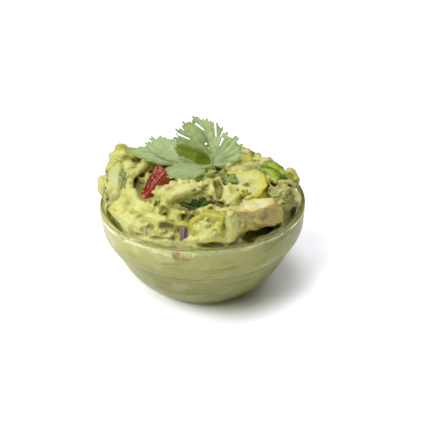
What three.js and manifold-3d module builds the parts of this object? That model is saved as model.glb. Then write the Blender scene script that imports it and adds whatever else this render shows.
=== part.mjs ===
// A heaped glass bowl of guacamole with its garnish.
// Millimetres, +Z up, the foot of the bowl on Z = 0, its centre on the Z axis, the front toward -Y.
import * as THREE from "three";
import { mergeVertices } from "three/addons/utils/BufferGeometryUtils.js";
import Module from "manifold-3d";

const manifoldKit = await Module();
manifoldKit.setup();

// ---------------------------------------------------------------- bowl
const rimHeight = 47.5;
const rimRadius = 52.5;
const wallThickness = 2.8;
const floorTop = 3.6;
const footRecess = 0.7;
const footInner = 20.5;
const footOuter = 26.2;
const bodyStart = [27.6, 1.3];
const bodyEnd = [46.3, 26.3];
const bodySwell = [40.8, 10.2];
const bandStart = [47.4, 27.2];
const bandSwell = [50.4, 30.2];
const bandEnd = [51.7, 35.5];
const lipRadius = wallThickness / 2;
const bowlSegments = 40;

// Outside from the foot up: rounded body, stacking step, band and straight side, as [radius, height].
function outerSide() {
  const curve = (from, swell, to, steps) => new THREE.QuadraticBezierCurve(...[from, swell, to].map((p) => new THREE.Vector2(...p))).getPoints(steps);
  return [
    ...curve(bodyStart, bodySwell, bodyEnd, 6),
    ...curve(bandStart, bandSwell, bandEnd, 3),
    ...curve(bandEnd, [52.3, 40], [rimRadius, rimHeight - lipRadius], 2).slice(1),
  ];
}

// Inside from the lip down: the outside moved in by the wall.
function innerSide() {
  const outer = outerSide();
  return outer.map((point, i) => {
    const along = outer[Math.min(i + 1, outer.length - 1)].clone().sub(outer[Math.max(i - 1, 0)]).normalize();
    return new THREE.Vector2(point.x - along.y * wallThickness, point.y + along.x * wallThickness);
  }).filter((point) => point.y > floorTop + 0.6).reverse();
}

const outerProfile = outerSide().map((p) => p.toArray());
const innerProfile = [...innerSide().map((p) => p.toArray()), [22, floorTop + 0.2], [14, floorTop]];

// ---------------------------------------------------------------- heap of guacamole
// Heights in this block are above the rim.
const contactGap = 0.3;
const dome = { height: 16.5, reach: 50.5, power: 4.5, sink: 1.7, leftLift: 2.2 };
const overhang = { radius: 53.0, clearance: 0.45 };
const crags = [
  { size: 9.0, depth: 1.8, seed: 11 },
  { size: 3.7, depth: 0.7, seed: 21 },
];
const folds = [
  { path: [[-33, 5, 14.5], [-36.7, 0.4, 13], [-37.2, -7.8, 10.5], [-33.6, -15.4, 9.5], [-28, -22, 10.3], [-22, -26.6, 9.5]], radius: 3.1 },
  { path: [[-34.5, 1, 15], [-29.4, 2, 17.2], [-23.4, 6.3, 18], [-14, 9.5, 17.5]], radius: 2.9 },
  { path: [[-22.2, -21.6, 10.5], [-13.3, -16.7, 12.8], [-5.8, -13, 14.5], [1, -7.2, 15]], radius: 4.8 },
  { path: [[4, -2.7, 16], [6.1, -10.5, 15.2], [7.4, -18.1, 13.8], [3.7, -24.5, 10.5]], radius: 3.0 },
  { path: [[9, 1, 16.5], [16.6, -1.5, 16.8], [24.2, 0.4, 15.5], [31, 1, 12.8]], radius: 3.2 },
  { path: [[-43.7, -10.7, 4.6], [-40.5, -20, 4.2], [-38.2, -26.5, 1.6]], radius: 4.0 },
  { path: [[-33.4, -22.7, 7.2], [-25.9, -29.1, 7], [-19.3, -36.1, 4.6], [-13.6, -40.4, 3]], radius: 3.8 },
  { path: [[-31.9, -35.3, 0], [-24.5, -39.1, 0.8], [-16.6, -42.4, 0.8], [-10.9, -45.2, -0.5]], radius: 2.8 },
  { path: [[14, -44.5, -1.5], [23, -41.5, -0.5], [31, -36.5, 0.5], [38, -29, 0.5]], radius: 2.6 },
  { path: [[-36, 22, 9], [-26, 29, 9.5], [-14, 33, 9]], radius: 3.4 },
  { path: [[-10, 18, 14], [2, 21, 14.5], [14, 17, 14.5]], radius: 3.6 },
  { path: [[-4, 40, 6], [10, 38, 7.5], [22, 32, 7.5]], radius: 3.2 },
  { path: [[20, 22, 12], [31, 17, 10.5], [39, 20, 6]], radius: 3.4 },
  { path: [[-20, 41, 3.5], [-30, 34, 4], [-39, 26, 5]], radius: 3.2 },
];
const lumps = [
  { at: [-41, 20, 15.5], radius: 5.6 }, { at: [-41, 21, 23], radius: 3.4 }, { at: [-46, 15, 11], radius: 5.4 },
  { at: [-48.6, 6.5, 5.5], radius: 5.6 }, { at: [-42, -19, 4], radius: 4.4 }, { at: [-35.6, -30, 3.2], radius: 4.6 },
  { at: [-28.5, -35.5, 3.2], radius: 4.2 }, { at: [-20.7, -30.4, 7.4], radius: 3.6 }, { at: [-6.6, -45, 0.4], radius: 3.6 },
  { at: [-0.4, -46.2, 0], radius: 3.2 }, { at: [14.5, -43, 0.8], radius: 3.4 }, { at: [43.5, -10, 5.5], radius: 4.6 },
  { at: [45.8, -15.6, 1.4], radius: 3.8 }, { at: [39.5, -6, 9], radius: 3.8 }, { at: [45.5, 10, 4], radius: 4.6 },
  { at: [23.6, 11, 14.6], radius: 4.2 }, { at: [33.3, 15, 11], radius: 4.2 }, { at: [15, 4.5, 16], radius: 3.4 },
  { at: [-26, 16, 13.5], radius: 5.2 }, { at: [-16, 24, 12], radius: 5.4 }, { at: [6, 30, 10], radius: 5.4 },
];
const hollows = [
  { at: [-27.5, -10, 15.5], radii: [7.5, 6.5, 5.5] },
  { at: [-2, -28.5, 14.5], radii: [9, 4.6, 4.6] },
  { at: [43, -27, 6], radii: [4.2, 6.5, 7] },
];
const morsels = { count: 170, seed: 407, least: 1.5, most: 3.6, mostBehind: 5.6, proud: 1.1, power: 3 };
const blend = { fold: 1.3, lump: 1.4, morsel: 0.7, hollow: 2.0 };
const heapCentre = -7;
const heapSegments = 68;
const heapRings = 19;
const heapSmoothing = 0.6;

// ---------------------------------------------------------------- chunks and pieces on the heap
// Each is a rounded block: centre above the rim, full size, turn about X, Y and Z in degrees.
const chunks = {
  avocado_chunk_front: { at: [3.2, -41, 6.0], size: [21, 12, 17], turn: [-22, 4, -3], power: 7, rough: 0.9, seed: 31, detail: 5, colour: 0xb9b45e },
  avocado_chunk_right: { at: [26.4, -28.8, 7.6], size: [33, 14, 15.5], turn: [-26, 7, 26], power: 5.5, rough: 1.1, seed: 32, detail: 5, colour: 0xd6cf95 },
  avocado_slab_middle: { at: [23.6, -13.8, 14.9], size: [24, 16, 6], turn: [-8, 3, 24], power: 5, rough: 0.9, seed: 33, detail: 5, colour: 0xd2d08c },
  avocado_chunk_side: { at: [38.8, -19.6, 8.8], size: [9.5, 10, 10], turn: [12, 18, 38], power: 5, rough: 0.7, seed: 34, detail: 3, colour: 0xc6c070 },
  avocado_slice_left: { at: [-42.4, 0.5, 9.8], size: [8.5, 25, 10.5], turn: [12, -28, -8], power: 4, rough: 0.7, seed: 35, detail: 4, colour: 0xd0ce93 },
  tomato_piece: { at: [-22.4, -8.2, 13.8], size: [20, 8.5, 10.5], turn: [0, -36, 38], power: 4, rough: 0.5, seed: 36, detail: 4, colour: 0xa03a22 },
  onion_piece: { at: [-9.6, -42.8, 4.0], size: [3.6, 4.6, 9], turn: [-20, 8, 20], power: 4, rough: 0.25, seed: 37, detail: 2, colour: 0xb9a48e },
  pepper_piece: { at: [37.6, 3.2, 11.8], size: [14, 12.5, 3.8], turn: [-14, 22, 35], power: 4, rough: 0.7, seed: 38, detail: 3, colour: 0x86a028 },
};
const lowTomato = { angle: -102, height: 43.4, width: 8, tall: 4.4, deep: 3.2, colour: 0x9c4a2a, seed: 39, detail: 3 };

// ---------------------------------------------------------------- coriander
const sprigColour = 0x93a86c;
const leafThickness = 0.55;
const leafRings = 2;
const toothDepth = 0.1;
// A blade's lobes run clockwise seen from its face: direction of the lobe from the middle of the blade
// (0 is away from the stalk), reach, teeth, and how deep the cleft before the next lobe goes.
const leaves = {
  upright: {
    middle: [3.7, 3.5, 26.3], across: [1, -0.16, 0], upward: [0.06, 0.46, 0.885], lobes: [
      [-150, 9.4, 0, 0], [-122, 11.2, 1, 0.06], [-97, 14.2, 2, 0.1], [-80, 16.0, 2, 0.36], [-61, 19.4, 3, 0.24], [-42, 18.9, 3, 0.2], [-28, 18.2, 2, 0.46],
      [-10, 17.2, 2, 0.08], [6, 14.8, 2, 0.4], [28, 13.1, 2, 0.12], [50, 12.7, 3, 0.2], [71, 16.4, 2, 0.12], [88, 18.0, 3, 0.1], [106, 17.0, 2, 0.12], [132, 12.2, 1, 0], [166, 10.6, 0, 0],
    ], neck: [166, 10.2], cup: 2.2, ripple: 0.8, seed: 51,
  },
  left: {
    middle: [-21.2, 3.4, 26.0], across: [1, -0.12, 0.1], upward: [0.1, 0.76, 0.64], lobes: [
      [-166, 6.8, 1, 0], [-128, 8.6, 1, 0.06], [-107, 11.4, 1, 0.08], [-90, 15.4, 2, 0.4], [-54, 8.6, 2, 0.12], [-30, 9.2, 3, 0.2], [0, 8.2, 2, 0.12],
      [24, 7.8, 2, 0.3], [46, 9.4, 3, 0.14], [74, 10.4, 1, 0.04], [97, 13, 0, 0], [114, 22.4, 0, 0], [130, 11.6, 0, 0], [154, 8.0, 1, 0.04],
    ], neck: [114, 21.5], cup: -1.4, ripple: 0.8, seed: 52,
  },
  front: {
    middle: [-9.7, -6.4, 19.4], across: [0.98, -0.1, 0.02], upward: [0.1, 0.95, 0.26], lobes: [
      [-169, 5.6, 2, 0.14], [-138, 7.8, 2, 0.16], [-112, 9.4, 2, 0.14], [-88, 9.6, 2, 0.16], [-62, 8.9, 2, 0.12], [-36, 6.8, 1, 0.08], [0, 5.8, 1, 0.05],
      [44, 7.4, 1, 0], [76, 15.2, 0, 0], [98, 7.6, 0, 0], [135, 4.8, 1, 0.08],
    ], neck: [76, 14.4], cup: -0.9, ripple: 0.4, seed: 53,
  },
};
// The three stalks leave one root in the mash and run up the middle of their blades.
const stalkRoot = [[6.2, -3.4, 16.6], [5.8, -2.6, 18.6]];
const stalkRadius = 0.8;
const stalkSides = 6;
const stalkSteps = 6;
// Small torn leaf bits lying in the mash
const bits = {
  coriander_bit_front: { at: [-2.2, -28.0, 11.9], across: [0.98, -0.16, 0.1], upward: [0.12, 0.62, 0.77], reach: 8.2, squash: 0.52, lobes: 5, curl: 1.8, seed: 61, colour: 0x4a6230 },
  coriander_bit_middle: { at: [12.6, -10.6, 18.4], across: [0.96, -0.26, -0.04], upward: [0.1, 0.86, 0.5], reach: 6.2, squash: 0.4, lobes: 4, curl: 0.8, seed: 62, colour: 0x5d7a4a },
  coriander_bit_left: { at: [-41.0, -2.6, 15.4], across: [0.3, -0.92, -0.24], upward: [0.9, 0.24, 0.36], reach: 5.4, squash: 0.4, lobes: 4, curl: 0.6, seed: 63, colour: 0x84a054 },
};

// ---------------------------------------------------------------- numbers that repeat from run to run
function draws(seed) {
  let state = seed >>> 0;
  return () => {
    state = (state + 0x6d2b79f5) >>> 0;
    let t = state;
    t = Math.imul(t ^ (t >>> 15), t | 1);
    t ^= t + Math.imul(t ^ (t >>> 7), t | 61);
    return ((t ^ (t >>> 14)) >>> 0) / 4294967296;
  };
}

function latticeValue(ix, iy, iz, seed) {
  let n = Math.imul(ix, 73856093) ^ Math.imul(iy, 19349663) ^ Math.imul(iz, 83492791) ^ Math.imul(seed, 2654435761);
  n = Math.imul(n ^ (n >>> 13), 1274126177);
  n ^= n >>> 16;
  return (n & 0xffff) / 32767.5 - 1;
}

// Smooth noise between -1 and 1 with features about `size` across.
function noise(x, y, z, size, seed) {
  const px = x / size, py = y / size, pz = z / size;
  const ix = Math.floor(px), iy = Math.floor(py), iz = Math.floor(pz);
  const fade = (t) => t * t * (3 - 2 * t);
  const u = fade(px - ix), v = fade(py - iy), w = fade(pz - iz);
  const mix = (a, b, t) => a + (b - a) * t;
  const edge = (j, k) => mix(latticeValue(ix, iy + j, iz + k, seed), latticeValue(ix + 1, iy + j, iz + k, seed), u);
  return mix(mix(edge(0, 0), edge(1, 0), v), mix(edge(0, 1), edge(1, 1), v), w);
}

const smoothMin = (a, b, k) => {
  const h = Math.min(1, Math.max(0, 0.5 + (0.5 * (b - a)) / k));
  return b + (a - b) * h - k * h * (1 - h);
};

function profileRadius(profile, height) {
  const rows = [...profile].sort((a, b) => a[1] - b[1]);
  if (height <= rows[0][1]) return rows[0][0];
  for (let i = 1; i < rows.length; i++) {
    if (height <= rows[i][1]) {
      const t = (height - rows[i - 1][1]) / (rows[i][1] - rows[i - 1][1]);
      return rows[i - 1][0] + (rows[i][0] - rows[i - 1][0]) * t;
    }
  }
  return rows[rows.length - 1][0];
}

// ---------------------------------------------------------------- meshes
function solid(positions, faces) {
  const geometry = new THREE.BufferGeometry();
  geometry.setAttribute("position", new THREE.Float32BufferAttribute(positions.flat(), 3));
  geometry.setIndex(faces.flat());
  return geometry;
}

function toManifold(geometry) {
  const bare = geometry.clone();
  for (const name of Object.keys(bare.attributes)) if (name !== "position") bare.deleteAttribute(name);
  const merged = mergeVertices(bare, 1e-5);
  return new manifoldKit.Manifold(new manifoldKit.Mesh({
    numProp: 3,
    vertProperties: new Float32Array(merged.attributes.position.array),
    triVerts: new Uint32Array(merged.index.array),
  }));
}

function fromManifold(body) {
  const mesh = body.getMesh();
  const geometry = new THREE.BufferGeometry();
  geometry.setAttribute("position", new THREE.BufferAttribute(new Float32Array(mesh.vertProperties), 3));
  geometry.setIndex(new THREE.BufferAttribute(new Uint32Array(mesh.triVerts), 1));
  return geometry;
}

function signedVolume(geometry) {
  const p = geometry.attributes.position, index = geometry.index.array;
  const a = new THREE.Vector3(), b = new THREE.Vector3(), c = new THREE.Vector3();
  let total = 0;
  for (let i = 0; i < index.length; i += 3) {
    a.fromBufferAttribute(p, index[i]); b.fromBufferAttribute(p, index[i + 1]); c.fromBufferAttribute(p, index[i + 2]);
    total += a.dot(b.cross(c)) / 6;
  }
  return total;
}

function outward(geometry) {
  if (signedVolume(geometry) < 0) {
    const index = geometry.index.array;
    for (let i = 0; i < index.length; i += 3) [index[i + 1], index[i + 2]] = [index[i + 2], index[i + 1]];
  }
  return geometry;
}

// Closed solid from rings of points, each ring the same length, capped by a point at both ends.
function ringSolid(firstPoint, rings, lastPoint) {
  const n = rings[0].length;
  const positions = [firstPoint, ...rings.flat(), lastPoint];
  const last = positions.length - 1;
  const faces = [];
  const at = (k, i) => 1 + k * n + (i % n);
  for (let i = 0; i < n; i++) {
    faces.push([0, at(0, i + 1), at(0, i)]);
    for (let k = 0; k + 1 < rings.length; k++) {
      faces.push([at(k, i), at(k, i + 1), at(k + 1, i)], [at(k, i + 1), at(k + 1, i + 1), at(k + 1, i)]);
    }
    faces.push([at(rings.length - 1, i), at(rings.length - 1, i + 1), last]);
  }
  return outward(solid(positions, faces));
}

function circle(radius, height, segments) {
  return Array.from({ length: segments }, (_, i) => {
    const angle = (2 * Math.PI * i) / segments;
    return [radius * Math.cos(angle), radius * Math.sin(angle), height];
  });
}

function bowlGeometry() {
  const foot = [[footInner - 1.5, footRecess], [footInner, 0.15], [footInner + 1, 0], [footOuter, 0]];
  const lip = [1, 2, 3, 4, 5].map((k) => {
    const angle = (k * Math.PI) / 6;
    return [rimRadius - lipRadius + lipRadius * Math.cos(angle), rimHeight - lipRadius + lipRadius * Math.sin(angle)];
  });
  const path = [...foot, ...outerProfile, ...lip, ...innerProfile];
  return ringSolid([0, 0, footRecess], path.map(([r, z]) => circle(r, z, bowlSegments)), [0, 0, floorTop]);
}

function curvePoints(path, steps) {
  return new THREE.CatmullRomCurve3(path.map((p) => new THREE.Vector3(...p)), false, "catmullrom", 0.5).getPoints(steps);
}

const domeHeight = (x, y) => {
  const r = Math.min(Math.hypot(x, y), 56);
  return dome.height * (1 - (r / dome.reach) ** dome.power) - dome.sink + dome.leftLift * Math.max(0, -x / 50) ** 2;
};

const foldSpines = folds.map((fold) => {
  const points = curvePoints(fold.path, 14);
  const box = new THREE.Box3().setFromPoints(points).expandByScalar(fold.radius + 3);
  const radii = points.map((_, i) => fold.radius * (1 - 0.5 * (2 * (i / (points.length - 1)) - 1) ** 2));
  return { points, box, radii };
});

function scatterMorsels() {
  const draw = draws(morsels.seed);
  const list = [];
  for (let i = 0; i < morsels.count; i++) {
    const angle = 2 * Math.PI * draw();
    const reach = 47 * Math.sqrt(draw());
    const x = reach * Math.cos(angle), y = reach * Math.sin(angle);
    const most = y > 4 ? morsels.mostBehind : morsels.most;
    const half = [0, 1, 2].map(() => morsels.least + (most - morsels.least) * draw() ** 2);
    const turn = new THREE.Euler(6.28 * draw(), 6.28 * draw(), 6.28 * draw());
    const rotation = new THREE.Matrix3().setFromMatrix4(new THREE.Matrix4().makeRotationFromEuler(turn)).transpose().elements;
    const lift = morsels.proud * (2 * draw() - 1);
    list.push({ x, y, z: domeHeight(x, y) + lift - 0.4 * Math.min(...half), half, least: Math.min(...half), rotation, bound: Math.max(...half) * 1.5 + 1 });
  }
  return list;
}
const morselList = scatterMorsels();

// Signed distance (about) to the heap's surface; z is above the rim.
function heapDistance(x, y, z) {
  let u = x, v = y, w = z;
  for (const crag of crags) {
    u += crag.depth * noise(x, y, z, crag.size, crag.seed);
    v += crag.depth * noise(x, y, z, crag.size, crag.seed + 1);
    w += 0.8 * crag.depth * noise(x, y, z, crag.size, crag.seed + 2);
  }
  let d = (w - domeHeight(u, v)) * 0.75;
  const here = new THREE.Vector3(u, v, w);
  for (const { points, box, radii } of foldSpines) {
    if (!box.containsPoint(here)) continue;
    let near = 1e3;
    for (let i = 0; i + 1 < points.length; i++) {
      const a = points[i], b = points[i + 1];
      const dx = b.x - a.x, dy = b.y - a.y, dz = b.z - a.z;
      const t = Math.min(1, Math.max(0, ((u - a.x) * dx + (v - a.y) * dy + (w - a.z) * dz) / (dx * dx + dy * dy + dz * dz)));
      near = Math.min(near, Math.hypot(u - a.x - t * dx, v - a.y - t * dy, w - a.z - t * dz) - (radii[i] + (radii[i + 1] - radii[i]) * t));
    }
    d = smoothMin(d, near, blend.fold);
  }
  for (const { at, radius } of lumps) {
    const reach = Math.hypot(u - at[0], v - at[1], w - at[2]);
    if (reach < radius + 3) d = smoothMin(d, reach - radius, blend.lump);
  }
  for (const m of morselList) {
    const dx = u - m.x, dy = v - m.y, dz = w - m.z;
    if (Math.abs(dx) > m.bound || Math.abs(dy) > m.bound || Math.abs(dz) > m.bound) continue;
    const e = m.rotation;
    const qx = Math.abs(e[0] * dx + e[3] * dy + e[6] * dz) / m.half[0];
    const qy = Math.abs(e[1] * dx + e[4] * dy + e[7] * dz) / m.half[1];
    const qz = Math.abs(e[2] * dx + e[5] * dy + e[8] * dz) / m.half[2];
    const k = (qx ** morsels.power + qy ** morsels.power + qz ** morsels.power) ** (1 / morsels.power);
    d = smoothMin(d, (k - 1) * m.least, blend.morsel);
  }
  for (const { at, radii } of hollows) {
    const k = Math.hypot((u - at[0]) / radii[0], (v - at[1]) / radii[1], (w - at[2]) / radii[2]);
    d = -smoothMin(-d, (k - 1) * Math.min(...radii), blend.hollow);
  }
  const r = Math.hypot(x, y);
  const limit = z < overhang.clearance ? profileRadius(innerProfile, rimHeight + z) - contactGap : overhang.radius;
  return Math.max(d, r - limit);
}

// Walks in from outside along a ray until the heap is met, then halves down to it.
function meet(direction) {
  const at = (t) => heapDistance(direction.x * t, direction.y * t, heapCentre + direction.z * t);
  let outside = 62, inside = outside;
  while (inside > 4) {
    inside = outside - 0.7;
    if (at(inside) < 0) break;
    outside = inside;
  }
  for (let i = 0; i < 12; i++) {
    const middle = (outside + inside) / 2;
    if (at(middle) < 0) inside = middle; else outside = middle;
  }
  return (inside + outside) / 2;
}

function heapGeometry() {
  const rays = [];
  for (let k = 1; k <= heapRings; k++) {
    const radius = 49.0 * (k / heapRings) ** 0.86;
    rays.push(Array.from({ length: heapSegments }, (_, i) => {
      const angle = (2 * Math.PI * (i + 0.5 * (k % 2))) / heapSegments;
      const x = radius * Math.cos(angle), y = radius * Math.sin(angle);
      const height = k === heapRings ? 0.2 : domeHeight(x, y) * 0.98 + 0.25;
      return new THREE.Vector3(x, y, height - heapCentre).normalize();
    }));
  }
  const found = rays.map((row) => row.map(meet));
  const eased = found.map((row, k) => row.map((t, i) => {
    if (k === heapRings - 1) return t;
    const shift = k % 2 ? -1 : 0;
    const around = [row[(i + 1) % heapSegments], row[(i + heapSegments - 1) % heapSegments]];
    for (const other of [found[k - 1], k + 1 < heapRings - 1 ? found[k + 1] : null]) {
      if (other) around.push(other[(i - shift) % heapSegments], other[(i - shift + heapSegments - 1) % heapSegments]);
    }
    return t + heapSmoothing * (around.reduce((a, b) => a + b, 0) / around.length - t);
  }));
  const rings = rays.map((row, k) => row.map((ray, i) => [ray.x * eased[k][i], ray.y * eased[k][i], rimHeight + heapCentre + ray.z * eased[k][i]]));
  // down the glass: just under the lip first, so that what hangs over the rim clears it
  const wallHeights = [rimHeight + 0.3, 45.2, 38, 32.5, 29.5, 27.2, 23, 16, 11, 7, floorTop + contactGap + 0.7, floorTop + contactGap + 0.15];
  let above = rings[rings.length - 1];
  wallHeights.forEach((nominal, row) => {
    above = above.map(([x, y, z]) => {
      const height = Math.min(nominal, z - 0.25);
      const radius = row === wallHeights.length - 1 ? 12 : profileRadius(innerProfile, height) - contactGap - (height < 24 ? 0.4 : 0.12);
      const angle = Math.atan2(y, x);
      return [radius * Math.cos(angle), radius * Math.sin(angle), height];
    });
    rings.push(above);
  });
  const top = [0, 0, rimHeight + heapCentre + meet(new THREE.Vector3(0, 0, 1))];
  return ringSolid(top, rings, [0, 0, floorTop + contactGap]);
}

function turned(degrees) {
  return new THREE.Matrix4().makeRotationFromEuler(new THREE.Euler(...degrees.map((a) => (a * Math.PI) / 180), "ZYX"));
}

// Rounded, slightly crumbly block grown by `grow` all round.
function chunkGeometry({ at, size, turn, power, rough, seed, detail }, grow = 0) {
  const box = new THREE.BoxGeometry(2, 2, 2, detail, detail, detail);
  const geometry = mergeVertices(box.deleteAttribute("normal").deleteAttribute("uv"), 1e-5);
  const position = geometry.attributes.position;
  const matrix = turned(turn).setPosition(at[0], at[1], at[2] + rimHeight);
  const point = new THREE.Vector3();
  for (let i = 0; i < position.count; i++) {
    point.fromBufferAttribute(position, i);
    point.set(...point.toArray().map((c) => Math.sin((c * Math.PI) / 4) * Math.SQRT2));
    point.multiplyScalar((Math.abs(point.x) ** power + Math.abs(point.y) ** power + Math.abs(point.z) ** power) ** (-1 / power));
    const crumb = rough * (noise(point.x * size[0] * 0.5, point.y * size[1] * 0.5, point.z * size[2] * 0.5, 4.2, seed)
      + 0.45 * noise(point.x * size[0] * 0.5, point.y * size[1] * 0.5, point.z * size[2] * 0.5, 2.1, seed + 1));
    point.set(...[point.x, point.y, point.z].map((c, axis) => c * (size[axis] / 2 + crumb + grow)));
    point.applyMatrix4(matrix);
    position.setXYZ(i, point.x, point.y, point.z);
  }
  return geometry;
}

// Piece of tomato pressed against the inside of the glass just under the rim.
function lowTomatoGeometry(grow = 0) {
  const angle = (lowTomato.angle * Math.PI) / 180;
  const reach = profileRadius(innerProfile, lowTomato.height) - contactGap - 0.35 - lowTomato.deep / 2;
  return chunkGeometry({
    at: [reach * Math.cos(angle), reach * Math.sin(angle), lowTomato.height - rimHeight],
    size: [lowTomato.width, lowTomato.deep, lowTomato.tall], turn: [0, 0, lowTomato.angle + 90], power: 2.6, rough: 0.12, seed: lowTomato.seed, detail: lowTomato.detail,
  }, grow);
}

// ---------------------------------------------------------------- leaves
// Directions of a blade's tips and notches with their reach, as straight-sided teeth.
function marginPoints({ lobes }) {
  const points = [];
  lobes.forEach(([middle, reach, teeth, cleft], i) => {
    const before = lobes[(i + lobes.length - 1) % lobes.length], after = lobes[(i + 1) % lobes.length];
    const turn = (a, b) => (((b - a) % 360) + 360) % 360;
    const start = middle - turn(before[0], middle) / 2, end = middle + turn(middle, after[0]) / 2;
    const share = (angle) => {
      const beside = angle < middle ? before[1] : after[1];
      const u = Math.abs(angle - middle) / (angle < middle ? middle - start : end - middle);
      return reach + (0.5 * (reach + beside) - reach) * u * u - 0.06 * reach * u ** 4;
    };
    const tips = Math.max(1, teeth);
    for (let t = 0; t < tips; t++) {
      const tip = start + ((end - start) * (t + 0.5)) / tips;
      points.push([tip, share(tip) * (teeth ? 1.03 : 1)]);
      const notch = start + ((end - start) * (t + 1)) / tips;
      const last = t === tips - 1;
      points.push([notch, share(notch) * (last ? 1 - Math.max(cleft, teeth ? toothDepth : 0) : 1 - toothDepth)]);
    }
  });
  return points.map(([angle, reach]) => [(((angle + 180) % 360) + 360) % 360 - 180, reach]).sort((a, b) => a[0] - b[0]);
}

// A point of a blade's middle surface, moved `off` along the blade's normal.
function bladePoint(leaf, degrees, reach, share = 1, off = 0) {
  const across = new THREE.Vector3(...leaf.across).normalize();
  const upward = new THREE.Vector3(...leaf.upward);
  upward.addScaledVector(across, -upward.dot(across)).normalize();
  const normal = new THREE.Vector3().crossVectors(across, upward);
  const a = (degrees * Math.PI) / 180;
  const x = reach * Math.sin(a), y = reach * Math.cos(a);
  const wave = leaf.cup * (reach / 18) ** 2 + leaf.ripple * share * (noise(x, y, 0, 6, leaf.seed) + 0.35 * Math.sin(a * 7));
  return new THREE.Vector3(leaf.middle[0], leaf.middle[1], leaf.middle[2] + rimHeight)
    .addScaledVector(across, x).addScaledVector(upward, y).addScaledVector(normal, wave + off).toArray();
}

// Thin wavy solid: both faces are split alike and joined round the margin.
function bladeGeometry(leaf) {
  const spokes = marginPoints(leaf);
  const place = ([degrees, margin], share, side) => bladePoint(leaf, degrees, margin * share, share, side * (leafThickness / 2) * (1 - 0.25 * share));
  // inner rings are rounder than the margin
  const round = spokes.reduce((sum, spoke) => sum + spoke[1], 0) / spokes.length;
  const ring = (k, side) => spokes.map(([degrees, margin]) => {
    const share = k / leafRings;
    return place([degrees, margin + (Math.min(margin, round) - margin) * 0.6 * (1 - share)], share, side);
  });
  const rings = [];
  for (let k = 1; k <= leafRings; k++) rings.push(ring(k, -1));
  for (let k = leafRings; k >= 1; k--) rings.push(ring(k, 1));
  const under = place([0, 0], 0, -1), over = place([0, 0], 0, 1);
  return ringSolid(under, rings, over);
}

function stalkGeometry(leaf) {
  const [degrees, reach] = leaf.neck;
  const path = [...stalkRoot.map(([x, y, z]) => [x, y, z + rimHeight]), bladePoint(leaf, degrees, reach, 1), bladePoint(leaf, degrees, reach * 0.45, 0.45), bladePoint(leaf, 0, 0, 0)];
  const points = curvePoints(path, stalkSteps);
  const rings = points.map((point, i) => {
    const ahead = points[Math.min(i + 1, points.length - 1)].clone().sub(points[Math.max(i - 1, 0)]).normalize();
    const side = new THREE.Vector3(0, -1, 0.3).cross(ahead).normalize();
    const other = ahead.clone().cross(side).normalize();
    const thick = stalkRadius * (1 - 0.45 * (i / (points.length - 1)));
    return Array.from({ length: stalkSides }, (_, j) => {
      const a = (2 * Math.PI * j) / stalkSides;
      return point.clone().addScaledVector(side, thick * Math.cos(a)).addScaledVector(other, thick * Math.sin(a)).toArray();
    });
  });
  return ringSolid(points[0].toArray(), rings, points[points.length - 1].toArray());
}

function sprigBody() {
  let body = null;
  for (const piece of [...Object.values(leaves).map(bladeGeometry), ...Object.values(leaves).map(stalkGeometry)]) {
    const next = toManifold(piece);
    body = body ? body.add(next) : next;
  }
  return body;
}

function bitGeometry({ at, across, upward, reach, squash, lobes, curl, seed }) {
  const leaf = {
    middle: at, across, upward, cup: curl * 4, ripple: curl * 0.5, seed,
    lobes: Array.from({ length: lobes }, (_, i) => [-180 + (360 * i) / lobes, reach * (1 - 0.3 * Math.abs(noise(i * 9.3, seed, 0, 5, seed))), 2, 0.3]),
  };
  const geometry = bladeGeometry(leaf);
  const up = new THREE.Vector3(...upward).normalize();
  const centre = new THREE.Vector3(at[0], at[1], at[2] + rimHeight);
  const position = geometry.attributes.position;
  const point = new THREE.Vector3();
  for (let i = 0; i < position.count; i++) {
    point.fromBufferAttribute(position, i).sub(centre);
    point.addScaledVector(up, -(1 - squash) * point.dot(up)).add(centre);
    position.setXYZ(i, point.x, point.y, point.z);
  }
  return geometry;
}

// Grown copy of a thin piece, by moving its points out along their normals.
function swollen(geometry, by) {
  const bare = mergeVertices(geometry.clone().deleteAttribute("normal"), 1e-5);
  bare.computeVertexNormals();
  const p = bare.attributes.position, n = bare.attributes.normal;
  for (let i = 0; i < p.count; i++) p.setXYZ(i, p.getX(i) + by * n.getX(i), p.getY(i) + by * n.getY(i), p.getZ(i) + by * n.getZ(i));
  bare.deleteAttribute("normal");
  return bare;
}

// ---------------------------------------------------------------- assembly
function largest(body) {
  return body.decompose().reduce((best, next) => (next.volume() > best.volume() ? next : best));
}

function build() {
  const group = new THREE.Group();
  const add = (name, geometry, colour, roughness = 0.5, metalness = 0) => {
    const plain = mergeVertices(geometry, 1e-5);
    plain.computeVertexNormals();
    const mesh = new THREE.Mesh(plain, new THREE.MeshStandardMaterial({ color: colour, roughness, metalness }));
    mesh.name = name;
    group.add(mesh);
  };

  add("bowl", bowlGeometry(), 0xdfe8d8, 0.05);

  // What lies on the heap is kept whole; each later piece gives way to those before it, and the mash to all.
  const kept = [];
  const keep = (name, geometry, grownGeometry, colour) => {
    let body = toManifold(geometry);
    for (const before of kept) body = body.subtract(before.grown);
    kept.push({ name, body: largest(body), grown: toManifold(grownGeometry), colour });
  };
  const sprig = fromManifold(sprigBody());
  keep("coriander_sprig", sprig, swollen(sprig, contactGap), sprigColour);
  for (const [name, values] of Object.entries(chunks)) keep(name, chunkGeometry(values), chunkGeometry(values, contactGap), values.colour);
  keep("tomato_piece_low", lowTomatoGeometry(), lowTomatoGeometry(contactGap), lowTomato.colour);
  for (const [name, values] of Object.entries(bits)) {
    const bit = bitGeometry(values);
    keep(name, bit, swollen(bit, contactGap), values.colour);
  }
  let mash = toManifold(heapGeometry());
  for (const { grown } of kept) mash = mash.subtract(grown);
  add("guacamole", fromManifold(largest(mash)), 0xbdb95c, 0.45);
  for (const { name, body, colour } of kept) add(name, fromManifold(body), colour, 0.4);
  return group;
}

export default build();
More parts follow.
